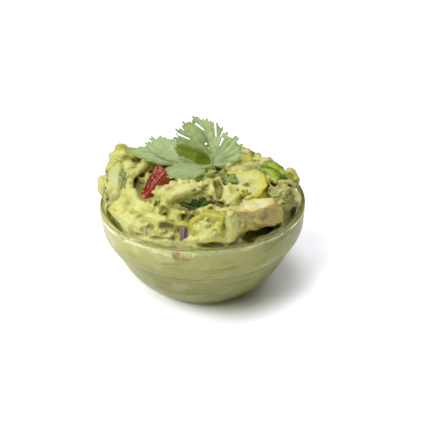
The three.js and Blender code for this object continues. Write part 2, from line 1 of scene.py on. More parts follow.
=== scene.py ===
import bpy
import math
import numpy as np
from mathutils import Euler, Matrix, Vector


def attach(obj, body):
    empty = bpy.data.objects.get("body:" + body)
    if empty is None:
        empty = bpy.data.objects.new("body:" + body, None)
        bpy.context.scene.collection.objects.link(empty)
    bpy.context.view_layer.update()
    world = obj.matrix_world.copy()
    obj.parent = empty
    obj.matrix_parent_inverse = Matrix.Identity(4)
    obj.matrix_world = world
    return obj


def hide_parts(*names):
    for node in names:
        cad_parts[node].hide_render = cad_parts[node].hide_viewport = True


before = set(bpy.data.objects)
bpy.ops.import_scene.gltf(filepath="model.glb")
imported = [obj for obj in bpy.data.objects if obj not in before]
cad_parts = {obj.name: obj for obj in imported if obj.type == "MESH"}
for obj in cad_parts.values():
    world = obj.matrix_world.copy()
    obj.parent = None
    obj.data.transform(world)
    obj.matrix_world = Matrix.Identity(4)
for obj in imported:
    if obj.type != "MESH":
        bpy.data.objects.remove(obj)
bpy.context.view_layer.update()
print("frame loaded")

# everything below is worked out in millimetres and scaled to metres when a mesh is made
mm = 0.001


# numbers that repeat from run to run
def draws(seed):
    state = seed
    while True:
        state = (state + 0x6D2B79F5) & 0xFFFFFFFF
        t = state
        t = ((t ^ (t >> 15)) * (t | 1)) & 0xFFFFFFFF
        t ^= (t + (((t ^ (t >> 7)) * (t | 61)) & 0xFFFFFFFF)) & 0xFFFFFFFF
        yield (t ^ (t >> 14)) / 4294967296


def latticeValue(ix, iy, iz, seed):
    n = (ix.astype(np.uint32) * np.uint32(73856093)) ^ (iy.astype(np.uint32) * np.uint32(19349663)) \
        ^ (iz.astype(np.uint32) * np.uint32(83492791)) ^ np.uint32((seed * 2654435761) & 0xFFFFFFFF)
    n = (n ^ (n >> np.uint32(13))) * np.uint32(1274126177)
    n = n ^ (n >> np.uint32(16))
    return (n & np.uint32(0xFFFF)).astype(np.float32) / np.float32(32767.5) - np.float32(1)


def fade(t):
    return t * t * (3 - 2 * t)


def share(t):
    return np.clip(t, 0, 1)


def cornerBlend(u, valueAt):  # blends what stands at the eight corners of each point's cell
    total = 0
    for corner in np.ndindex(2, 2, 2):
        weight = 1
        for k, far in enumerate(corner):
            weight = weight * (u[:, k] if far else 1 - u[:, k])
        total = total + weight * valueAt(*corner)
    return total


def pointNoise(points, size, seed):  # smooth noise between -1 and 1 at loose points
    q = np.asarray(points, float) / size
    i = np.floor(q).astype(np.int64)
    return cornerBlend(fade(q - i), lambda dx, dy, dz: latticeValue(i[:, 0] + dx, i[:, 1] + dy, i[:, 2] + dz, seed))


def sampleField(field, axes, points):
    q = np.stack([(points[:, k] - axes[k][0]) / (axes[0][1] - axes[0][0]) for k in range(3)], 1)
    i = np.clip(np.floor(q).astype(int), 0, np.array(field.shape) - 2)
    return cornerBlend(share(q - i), lambda dx, dy, dz: field[i[:, 0] + dx, i[:, 1] + dy, i[:, 2] + dz])


def gridNoise(axes, size, seed):  # the same noise on a whole grid, one axis at a time
    parts = []
    for a in axes:
        i = np.floor(a / size).astype(np.int64)
        parts.append((i, fade(a / size - i).astype(np.float32)))
    spans = [np.arange(i.min(), i.max() + 2) for i, u in parts]
    field = latticeValue(*np.meshgrid(*spans, indexing="ij"), seed)
    for axis, (i, u) in enumerate(parts):
        low = np.take(field, i - i.min(), axis=axis)
        step = np.take(field, i - i.min() + 1, axis=axis) - low
        field = low + step * np.expand_dims(u, [k for k in range(3) if k != axis])
    return field


def smoothMin(a, b, k):
    h = share(0.5 + 0.5 * (b - a) / k)
    return b + (a - b) * h - k * h * (1 - h)


def curvePoints(path, steps):  # Catmull-Rom through the points, evenly in its parameter
    p = np.array(path, float)
    p = np.vstack([2 * p[0] - p[1], p, 2 * p[-1] - p[-2]])
    spans = len(p) - 3
    out = []
    for s in np.linspace(0, spans, steps + 1):
        i = min(int(s), spans - 1)
        t = s - i
        a, b, c, d = p[i:i + 4]
        out.append(0.5 * (2 * b + (c - a) * t + (2 * a - 5 * b + 4 * c - d) * t * t + (3 * b - a - 3 * c + d) * t ** 3))
    return np.array(out)


def ropeDistance(p, spine, radii):
    best = 1e3
    for a, b, ra, rb in zip(spine[:-1], spine[1:], radii[:-1], radii[1:]):
        t = share(((p - a) @ (b - a)) / np.dot(b - a, b - a))
        best = np.minimum(best, np.linalg.norm(p - a - t[..., None] * (b - a), axis=-1) - (ra + (rb - ra) * t))
    return best


# meshes
def camel(name):
    words = name.split("_")
    return words[0] + "".join(w.capitalize() for w in words[1:])


def makePiece(name, points, faces, material, nodeName, slot, values={}):
    mesh = bpy.data.meshes.new(name)
    corners = [tuple(dict.fromkeys(int(i) for i in face)) for face in faces]
    mesh.from_pydata((np.asarray(points, float) * mm).tolist(), [], corners)
    mesh.validate()
    mesh.polygons.foreach_set("use_smooth", [True] * len(mesh.polygons))
    for key, data in values.items():
        mesh.attributes.new(key, "FLOAT", "POINT").data.foreach_set("value", np.asarray(data, np.float32))
    mesh.materials.append(material)
    mesh.update()
    piece = bpy.data.objects.new(name, mesh)
    bpy.context.scene.collection.objects.link(piece)
    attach(piece, "root")
    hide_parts(nodeName)
    print("made", name, len(mesh.polygons), "faces")


def ringFaces(rings, count):  # faces of a closed solid: first point, rings of points, last point
    faces = []
    for i in range(count):
        j = (i + 1) % count
        faces.append((0, 1 + j, 1 + i))
        for a in range(1, 1 + (rings - 1) * count, count):
            faces.append((a + i, a + j, a + count + j, a + count + i))
        a = 1 + (rings - 1) * count
        faces.append((a + i, a + j, 1 + rings * count))
    return faces


def outward(points, faces):
    p = np.asarray(points, float)
    volume = sum(np.dot(p[f[0]], np.cross(p[f[k]], p[f[k + 1]])) for f in faces for k in range(1, len(f) - 1))
    return faces if volume > 0 else [tuple(reversed(f)) for f in faces]


def lathe(path, count):  # closed solid of revolution from its first to its last point, both on the axis
    angles = np.linspace(0, 2 * math.pi, count, endpoint=False)
    rings = [(r * math.cos(a), r * math.sin(a), z) for r, z in path[1:-1] for a in angles]
    points = [(0, 0, path[0][1])] + rings + [(0, 0, path[-1][1])]
    return points, outward(points, ringFaces(len(path) - 2, count))


def onlyUsed(points, faces):
    used = np.unique(faces)
    renumber = np.full(len(points), -1)
    renumber[used] = np.arange(len(used))
    return points[used], renumber[faces]


def openEdges(faces, count):  # edges of the quads that no other quad shares
    edges = np.concatenate([faces[:, [k, (k + 1) % 4]] for k in range(4)]).astype(np.int64)
    return edges[~np.isin(edges[:, 1] * count + edges[:, 0], edges[:, 0] * count + edges[:, 1])]


# the bowl's section
bowl = {
    "rimHeight": 47.5, "rimRadius": 52.5, "wall": 2.8, "floorTop": 3.6,
    "footRecess": 0.7, "footInner": 20.5, "footOuter": 26.2,
    "body": [(27.6, 1.3), (40.8, 10.2), (46.3, 26.3)],
    "step": (46.5, 26.9),
    "band": [(47.4, 27.2), (50.4, 30.2), (51.7, 35.5)],
    "side": (52.3, 40.0),
    "around": 192,
}
rim = bowl["rimHeight"]
lip = bowl["wall"] / 2


def bend(a, b, c, steps):
    a, b, c = (np.array(p, float) for p in (a, b, c))
    return [(1 - t) ** 2 * a + 2 * t * (1 - t) * b + t * t * c for t in np.linspace(0, 1, steps + 1)]


def outerSide():
    body = bend(*bowl["body"], 22)
    step = bend(bowl["body"][2], bowl["step"], bowl["band"][0], 4)[1:-1]
    side = bend(bowl["band"][2], bowl["side"], (bowl["rimRadius"], rim - lip), 8)[1:]
    return np.array(body + step + bend(*bowl["band"], 12) + side)


def unit(rows):
    return rows / np.linalg.norm(rows, axis=1)[:, None]


def innerSide():
    along = unit(np.gradient(outerLine, axis=0))
    for _ in range(3):  # the mould rounds the step on the inside
        along[1:-1] = (along[:-2] + 2 * along[1:-1] + along[2:]) / 4
        along = unit(along)
    inner = outerLine + np.stack([-along[:, 1], along[:, 0]], 1) * bowl["wall"]
    return inner[inner[:, 1] > bowl["floorTop"] + 0.6][::-1]


outerLine = outerSide()
innerLine = innerSide()


def innerRadius(height):
    low = [(0, bowl["floorTop"] - 1), (14, bowl["floorTop"]), (22, bowl["floorTop"] + 0.2)]
    rows = np.array(low + [(r, z) for r, z in innerLine[np.argsort(innerLine[:, 1])]])
    return np.interp(height, rows[:, 1], rows[:, 0])


# the heap of guacamole: heights here are above the rim; rows of noise are size, depth and seed
heap = {
    "dome": {"height": 16.5, "reach": 50.5, "power": 4.5, "sink": 1.7, "leftLift": 2.2, "dip": (7, 30), "dipWide": 23, "dipDeep": 3.4},
    "steepness": 0.75,
    "overhang": {"radius": 53.0, "clearance": 0.25, "frontRadius": 50.4, "fromY": -14, "overY": 16},
    "crags": [(9.0, 1.8, 11), (3.7, 0.7, 21)],
    "blend": {"fold": 0.9, "lump": 1.8, "hollow": 1.6, "ridge": 1.3, "groove": 0.7, "smear": 2.2},
    "morsels": {"count": 170, "seed": 407, "within": 47, "least": 1.5, "most": 3.6, "mostBehind": 5.6, "fewLarge": 2,
                "proud": (2.2, -1.1), "sunk": 0.4, "power": 3, "blend": 1.7, "margin": (1.5, 3)},
    "crumbs": {"count": 560, "seed": 811, "within": 50, "least": 0.6, "most": 1.6, "mostBehind": 1.6, "fewLarge": 2.2,
               "proud": (0.15, 0), "sunk": 0.35, "power": 2.6, "blend": 0.9, "margin": (1.3, 1.5), "regions": 13, "bare": -0.12},
    "flow": {"way": (0.8, 0.3, 0.52), "stretch": 3.2, "swirl": 3.0, "swirlSize": 12},
    "smearNoise": [(5.2, 1.0, 81), (2.4, 0.45, 82)],
    "swells": [(5.6, 0.95, 71), (2.4, 0.36, 72)],
    "tears": [(3.4, 0.42, 75), (1.7, -0.26, 76)],  # torn ridges, and creases where the depth is below 0
    "calm": 0.6,  # how far the ridges stay smooth
    "wander": (5.5, 0.55, 84),  # how the ridges and grooves stray from their paths
    "grain": (1.2, 0.18, 78),
    "closing": {"reach": 1.3, "depth": 0.85},  # pits narrower than twice the reach stay this shallow
    "moat": {"deep": 3.0, "wide": 0.9, "leftDeep": 4.0, "leftWide": 1.5, "leftAngle": 197, "leftHalf": 30,
             "edge": (4, 0.5, 97), "broken": (6, 98), "torn": (2.6, 0.6, 99), "waterline": [(9, 1.1, 95), (3, 0.4, 96)]},
    "intoGlass": 0.15,
    "shading": {"open": (1.6, 3.4), "close": 0.9, "drawn": (3.4, 77), "fresh": (3, 0.8, 78)},  # reaches, and noises
    "ropeSteps": 14,
    "cell": 0.52,
    "half": 54, "floor": -6.0, "top": 30,
}
folds = [
    ([(-33, 5, 14.5), (-36.7, 0.4, 13), (-37.2, -7.8, 10.5), (-33.6, -15.4, 8.6), (-28, -22, 8.4), (-22, -26.6, 8.4)], 3.1),
    ([(-34.5, 1, 15), (-29.4, 2, 17.2), (-23.4, 6.3, 18), (-14, 9.5, 17.5)], 2.9),
    ([(-22.2, -21.6, 10.5), (-13.3, -16.7, 12.8), (-5.8, -13, 14.5), (1, -7.2, 15)], 4.8),
    ([(4, -2.7, 16), (6.1, -10.5, 15.2), (7.4, -18.1, 13.8), (3.7, -24.5, 10.5)], 3),
    ([(9, 1, 16.5), (16.6, -1.5, 16.8), (24.2, 0.4, 15.5), (31, 1, 12.8)], 3.2),
    ([(-43.7, -10.7, 4.6), (-40.5, -20, 4.2), (-38.2, -26.5, 1.6)], 4),
    ([(-33.4, -22.7, 7.2), (-25.9, -29.1, 7), (-19.3, -36.1, 4.6), (-13.6, -40.4, 3)], 3.8),
    ([(-31.9, -35.3, 0), (-24.5, -39.1, 0.8), (-16.6, -42.4, 0.8), (-10.9, -45.2, -0.5)], 2.8),
    ([(14, -44.5, -1.5), (23, -41.5, -0.5), (31, -36.5, 0.5), (38, -29, 0.5)], 2.6),
    ([(-36, 22, 9), (-26, 29, 9.5), (-14, 33, 9)], 3.4),
    ([(-10, 18, 12.4), (2, 21, 11.6), (14, 17, 12)], 3.6),
    ([(-4, 40, 4.4), (10, 38, 4.4), (22, 32, 5)], 3.2),
    ([(20, 22, 12), (31, 17, 10.5), (39, 20, 6)], 3.4),
    ([(-20, 41, 3.5), (-30, 34, 4), (-39, 26, 5)], 3.2),
]
lumps = [
    ((-41, 20, 15.5), 5.4), ((-41.5, 20, 21.6), 1.6), ((-37.1, 10, 15), 2.6), ((-39.4, 20.6, 19.8), 2.2), ((-45, 18.5, 15.6), 3.4),
    ((-36.6, 20.5, 16.8), 3.2), ((-43, 15.6, 14.4), 4.4), ((-39.4, 13.4, 13.4), 4), ((-46, 15, 11), 5.4), ((-48.6, 6.5, 5.5), 5.6),
    ((-42, -19, 4), 4.4), ((-35.6, -30, 3.2), 4.6), ((-28.5, -35.5, 3.2), 4.2), ((-20.7, -30.4, 7.4), 3.6), ((-6.6, -45, 0.4), 3.6),
    ((-0.4, -46.2, 0), 3.2), ((14.5, -43, 0.8), 3.4), ((43.5, -10, 5.5), 4.6), ((45.8, -15.6, 1.4), 3.8), ((39.5, -6, 9), 3.8),
    ((45.5, 10, 4), 4.6), ((23.6, 11, 14.6), 4.2), ((33.3, 15, 11), 4.2), ((15, 4.5, 16), 3.4), ((13.4, -24.2, 10.8), 4.6),
    ((-36.8, 4.5, 14.6), 3), ((-30, -33.5, 4.6), 5), ((-37, -27.5, 4.4), 4.4), ((-26, 16, 13.5), 5.2), ((-16, 24, 10.4), 5.4),
    ((6, 30, 6.4), 5.4),
]
ridges = [
    ([(-34.5, 9, 13.4), (-35.2, -1, 13.4), (-35.5, -9.5, 12), (-33.2, -17.8, 10.2), (-28.4, -25, 9.2), (-23.2, -30.4, 9.2)], 3.4),
    ([(-25.5, 4, 19.6), (-30, 0.5, 17.8), (-34, -2.5, 14.8)], 1.9),
    ([(-42, 18.4, 15.6), (-40.6, 18.4, 17.2)], 3.7), ([(-19.5, -25.5, 12.6), (-12.4, -21.4, 13.8), (-5, -19, 15), (1, -15, 14.4)], 3.6),
    ([(-41, -25, 1.2), (-35, -31, 5.2), (-29, -32.5, 7.4), (-23, -35.3, 8.5), (-18.5, -38.5, 9.4)], 3.6),
    ([(-31, -39.4, 0.6), (-24.2, -43.6, 1.6), (-18, -45, 2), (-13, -46, 1.8)], 1.8),
    ([(1.5, -7.4, 16), (4.4, -16.5, 16), (5.2, -24, 14.4)], 2),
    ([(12.4, -18, 15.2), (12, -23.5, 14), (13, -29.5, 12.2)], 2.6),
    ([(27, -13.5, 12.8), (31, -11, 13.9), (34, -9, 14.2), (38, -9.6, 11.8)], 2),
    ([(10.4, -43.6, 6.2), (14.6, -43.4, 4.8), (18.6, -43.2, 3.2)], 1.7),
    ([(8.5, -41, 13.6), (12, -43.4, 10.6), (13.4, -45.6, 6.4), (12, -47.4, 2.6)], 2),
    ([(11, -34.5, 11.4), (12.4, -39.4, 9.4), (13, -43.4, 5.6), (11.6, -46.4, 1.4)], 4),
    ([(-6.4, -46.6, 4), (-1, -48, 4.4), (4, -48.4, 5.6), (9, -47.4, 4)], 2.1),
    ([(-7.4, -46, 0.6), (0, -48.8, 0.6), (8, -48, 0.6)], 1.8),
    ([(41, -2, 9.5), (44.5, 0, 7), (46.5, 4.5, 3)], 2),
    ([(45, -8, 7), (48, -13, 4), (48.5, -18, 1.5)], 2.2),
]
grooves = [
    ([(15.4, -43.4, 0.6), (20, -41, 0), (25.4, -37.4, -0.4), (31, -33.2, -0.2), (36, -28, 0.6)], 3.4),
    ([(19, -44.6, 3.4), (24.6, -42, 2.6), (31, -38, 2.4), (36.4, -33.4, 2.6)], 2.2),
    ([(40.2, -29.6, 1.4), (43, -24.6, 0.4), (45.4, -18, 0.4), (47, -11, 1.2)], 2.8),
    ([(42, -26, 6), (45.6, -19, 5.4)], 2.4),
    ([(10.5, -48.8, 0.6), (14.4, -47, 1.2)], 1.4),
    ([(41.6, -25, 11), (43.6, -25.8, 7.5), (42.8, -27.6, 4)], 2.8),
    ([(-19.6, -40.2, 8.8), (-14.9, -42, 8), (-9.8, -43.4, 7.6)], 1.5),
    ([(-33.2, -37.2, 2.2), (-25.9, -43.9, 4.2), (-18.4, -44.7, 4.4), (-14.2, -46, 4.4)], 0.8),
    ([(-34.3, -3.6, 13.6), (-32.2, -7.6, 12.8), (-31, -13.5, 12.4)], 2.3),
    ([(7.4, -15.6, 17.4), (8.2, -20, 15), (8.4, -24.6, 12.6)], 1.8),
    ([(19.8, -26.2, 13.6), (25.7, -25, 13.8), (30.2, -21, 15)], 1.5),
    ([(4.5, -10.8, 18.6), (7.6, -9.2, 17.8), (10.4, -6.5, 16.4)], 2.2),
    ([(-36, 7.6, 17.6), (-34.2, 5.5, 17), (-32, 1.5, 18)], 1.1),
    ([(-44.2, -21, 7.4), (-38, -26, 8.6)], 1),
    ([(-3, -50, 2.4), (4.3, -49.6, 1.8), (8.6, -49, 1.6)], 1),
    ([(5.8, -27.6, 12.8), (9.4, -31, 13.2)], 1.5),
    ([(22, -6, 17), (30, -4.5, 16.5), (36, -6, 14)], 1.2),
]
hollows = [((-7.4, -12.6, 21.8), (4.4, 3.4, 1.9)), ((-27.5, -10, 15.5), (7.5, 6.5, 5.5)), ((-26.4, -18.6, 15.4), (5.6, 5.2, 5.2)),
    ((-4.6, -28, 14.2), (10.4, 4.6, 4.8)), ((43.4, -25, 5), (4.4, 6.5, 7.4)), ((-6, -35.6, 10.4), (5, 3.4, 4.4))]

# bits of firm, yellower avocado in the mash; the first two rows, on the tall peak at the back left, are also painted
# light that brightens its shaded face: middle, radius, strength
freshAndLitBits = [
    ((-41.4, 20, 22), 5.6, 0.5), ((-46, 15, 12), 4.6, 0.4), ((-17.5, -27.6, 13), 2.2, 1), ((-16, -33.6, 11), 1.8, 1),
    ((7.8, -18, 16), 2, 0.8), ((-21.5, -22, 11.5), 2.6, 0.7), ((-9.5, -5.5, 17.5), 3.4, 0.6), ((-41.5, -21, 7), 3.6, 0.5),
    ((25.5, 9.5, 18), 4.6, 1), ((7.2, -13, 17), 2.8, 0.5), ((-13, -40, 5), 2.6, 0.5), ((-24, -31, 10), 3.4, 0.35),
    ((-30, 3, 18.5), 2.8, 0.5), ((31.4, -11, 15.6), 2.8, 0.8), ((3.5, -49.5, 2), 4.4, 0.8), ((-4, -47, 3.6), 2.4, 0.7),
    ((18.5, -24, 14), 2.6, 0.7),
]

# rounded blocks on the heap: middle above the rim, full size, turn about X, Y and Z in degrees
chunks = {
    "avocado_chunk_front": {"at": (3.2, -41, 6), "size": (21, 12, 17), "turn": (-22, 4, -3), "power": 12, "rough": 0.9, "seed": 31,
        "smear": 1.2, "dish": [(0, 1.5)], "edgeWidth": 0.17, "cut": [
        (-0.3, -0.72, 0.62, 5.9, 0.8), (0.06, 0.1, 1, 8.4, 0.5), (-1, -0.1, 0.12, 10.2, 0.2), (0.85, -0.45, 0.2, 8.8, 0.1),
        (0, -1, -0.1, 8, 0.1), (0, 1, 0, 5, 0.3), (0, 0, -1, 8, 0.2), (-0.6, 0.2, 0.75, 8.6, 0.1)]},
    "avocado_chunk_right": {"at": (25, -32.5, 7.4), "size": (29, 14, 15), "turn": (0, 8, 12), "power": 10, "rough": 1.4, "seed": 32,
        "smear": 3, "dish": [(0, 1.7), (1, 0.7), (2, 0.9)], "cut": [
        (-0.02, -0.04, 1, 5.9, 1), (-0.25, -0.93, 0.28, 6.4, 0.3), (0.5, -0.72, 0.48, 6.6, 0.05), (1, 0.1, 0.2, 14.2, 0.05),
        (0.1, 1, 0, 7, 0.5), (-1, -0.15, 0.3, 13.4, 0.6),
        (0, 0, -1, 4.6, 0.2), (0.3, -0.7, -0.65, 6.9, 0), (0.75, -0.1, 0.66, 11.6, 0.3)]},
    "avocado_slab_middle": {"at": (22.6, -16, 13.8), "size": (24, 20, 6), "turn": (-8, 3, 24), "power": 7, "rough": 1.6, "seed": 33,
        "smear": 1.8, "dish": [(0, 1.3)], "edgeWidth": 0.3, "cut": [
        (-0.05, -0.25, 1, 2.9, 1), (0.55, -0.8, 0.25, 9.4, 0), (1, 0.1, 0, 9, 0.1), (0.1, 1, 0, 9.6, 0.5), (-1, 0.1, 0, 10.6, 0.6),
        (-0.3, -0.95, 0.3, 8.8, 0.7), (0, 0, -1, 4, 0.2)]},
    "avocado_chunk_side": {"at": (37.6, -18.6, 8.8), "size": (9.5, 10, 10), "turn": (12, 18, 38), "power": 9, "rough": 1.6, "fine": 1.3,
        "seed": 34, "smear": 1.5, "cut": [
        (-0.2, -0.7, 0.75, 4.6, 0.8), (0.75, -0.6, 0.3, 5, 0.1), (0.2, 0.5, 0.85, 5.2, 0.6), (-0.9, -0.3, 0.2, 5.2, 0.4),
        (0.6, 0.8, 0, 5.4, 0.3), (0, -0.3, -1, 4.4, 0), (-0.5, 0.8, 0, 5, 0.3)]},
    "avocado_slice_left": {"at": (-42.4, 0.5, 9.8), "size": (8.5, 25, 10.5), "turn": (12, -28, -8), "power": 4, "rough": 0.7, "seed": 35,
        "smear": 1.3},
    "tomato_piece": {"at": (-22.4, -10.4, 14.4), "size": (20, 8.5, 10.5), "turn": (0, -36, 38), "power": 12, "rough": 0.8, "seed": 36,
        "smear": 2.1, "cut": [
        (0.55, -0.85, 0.15, 4.2, 1), (-0.46, -0.36, 0.81, 4.6, 0.1), (-0.9, 0.2, 0.45, 5, 0), (-0.62, 0.79, 0, 4, 0),
        (0.46, 0.36, -0.81, 4.6, 0.8), (0.64, 0.5, 0.59, 9, 0.6), (-0.64, -0.5, -0.59, 11.5, 0.8),
        (0.75, -0.2, 0.62, 8.2, 0.9)]},
    "onion_piece": {"at": (-9.4, -43.8, 1.4), "size": (5.2, 4.8, 14), "turn": (-20, 6, 20), "power": 2.6, "rough": 1.7, "seed": 37,
        "smear": 0.7},
    "pepper_piece": {"at": (36.6, 1.8, 12.6), "size": (14, 12, 3.8), "turn": (20, 16, 24), "power": 4, "rough": 0.7, "seed": 38},
}


def domeHeight(x, y):
    d = heap["dome"]
    r = np.minimum(np.hypot(x, y), 56)
    dip = d["dipDeep"] * np.exp(-((x - d["dip"][0]) ** 2 + (y - d["dip"][1]) ** 2) / d["dipWide"] ** 2 * 1.5)
    return d["height"] * (1 - (r / d["reach"]) ** d["power"]) - d["sink"] + d["leftLift"] * np.maximum(0, -x / 50) ** 2 - dip


def scatter(kind, heightAt):  # small rounded blocks: middle, half sizes, turn
    c = heap[kind]
    draw = draws(c["seed"])
    pieces = []
    for _ in range(c["count"]):
        angle, reach = 2 * math.pi * next(draw), c["within"] * math.sqrt(next(draw))
        x, y = reach * math.cos(angle), reach * math.sin(angle)
        most = c["mostBehind"] if y > 4 else c["most"]
        half = [c["least"] + (most - c["least"]) * next(draw) ** c["fewLarge"] for _ in range(3)]
        turn = Euler([6.28 * next(draw) for _ in range(3)], "ZYX").to_matrix()
        lift = c["proud"][0] * next(draw) + c["proud"][1]
        if kind == "morsels" or pointNoise(np.array([[x, y, 0.0]]), c["regions"], c["seed"])[0] > c["bare"]:
            pieces.append(((x, y, heightAt(x, y) + lift - c["sunk"] * min(half)), half, np.array(turn).T))
    return pieces


def surfaceHeights(field, axes):  # the top of the heap over every point of the plan
    solid = field[:, :, ::-1] < 0
    top = axes[2][::-1][np.argmax(solid, axis=2)]
    return np.where(solid.any(2), top, axes[2][0]) + 0.5 * (axes[2][1] - axes[2][0])


def blockShape(q, power):  # 1 on the surface of the unit rounded block
    return (np.abs(q[0]) ** power + np.abs(q[1]) ** power + np.abs(q[2]) ** power) ** (1 / power)


def turnOf(c):
    return np.array(Euler([math.radians(a) for a in c["turn"]]).to_matrix())


def planesOf(c):  # the faces of a cut piece: unit normals, distances from its middle, and tones
    if "cut" in c:
        cut = np.array(c["cut"], float)
        return unit(cut[:, :3]), cut[:, 3], cut[:, 4]
    turn, half = turnOf(c), np.array(c["size"]) / 2
    return np.vstack([turn.T, -turn.T]), np.concatenate([half, half]), np.array([0.35, 0.35, 1, 0.35, 0.35, 0.35])


def cutShares(c, p):  # how far out each point lies toward each face; p is loose points from the middle
    normals, distances, tones = planesOf(c)
    return np.maximum(p @ normals.T / distances, 0)


def cutShape(c, p):  # 1 on the surface of the piece
    return (cutShares(c, p) ** c["power"]).sum(-1) ** (1 / c["power"])


def flowNoise(points, size, seed):  # noise drawn out along the way the mash was turned
    flow = heap["flow"]
    way = np.array(flow["way"]) / np.linalg.norm(flow["way"])
    bent = points + flow["swirl"] * np.stack([pointNoise(points, flow["swirlSize"], 91 + k) for k in range(3)], 1)
    return pointNoise(bent - (1 - 1 / flow["stretch"]) * (bent @ way)[:, None] * way, size, seed)


def pitFloor(heights, cell):  # how high narrow pits of the plan are filled; far down everywhere else
    reach, depth = int(round(heap["closing"]["reach"] / cell)), heap["closing"]["depth"]
    steps = range(-reach, reach + 1)
    spots = [(i, j) for i in steps for j in steps if i * i + j * j <= (reach + 0.3) ** 2]
    grown = np.max([np.roll(heights, spot, (0, 1)) for spot in spots], axis=0)
    closed = np.min([np.roll(grown, spot, (0, 1)) for spot in spots], axis=0)
    floor = closed - depth - 12 * share(1.3 - (closed - heights) / depth)
    for _ in range(2):
        floor = (2 * floor + sum(np.roll(floor, way, axis) for axis in (0, 1) for way in (1, -1))) / 6
    return floor


def leftShare(x, y):  # 1 where the gap along the glass is widest
    aim = math.radians(heap["moat"]["leftAngle"])
    toward = (x * math.cos(aim) + y * math.sin(aim)) / np.maximum(np.hypot(x, y), 1)
    apart = np.degrees(np.arccos(np.clip(toward, -1, 1)))
    return fade(share(1.6 - 1.6 * apart / heap["moat"]["leftHalf"]))


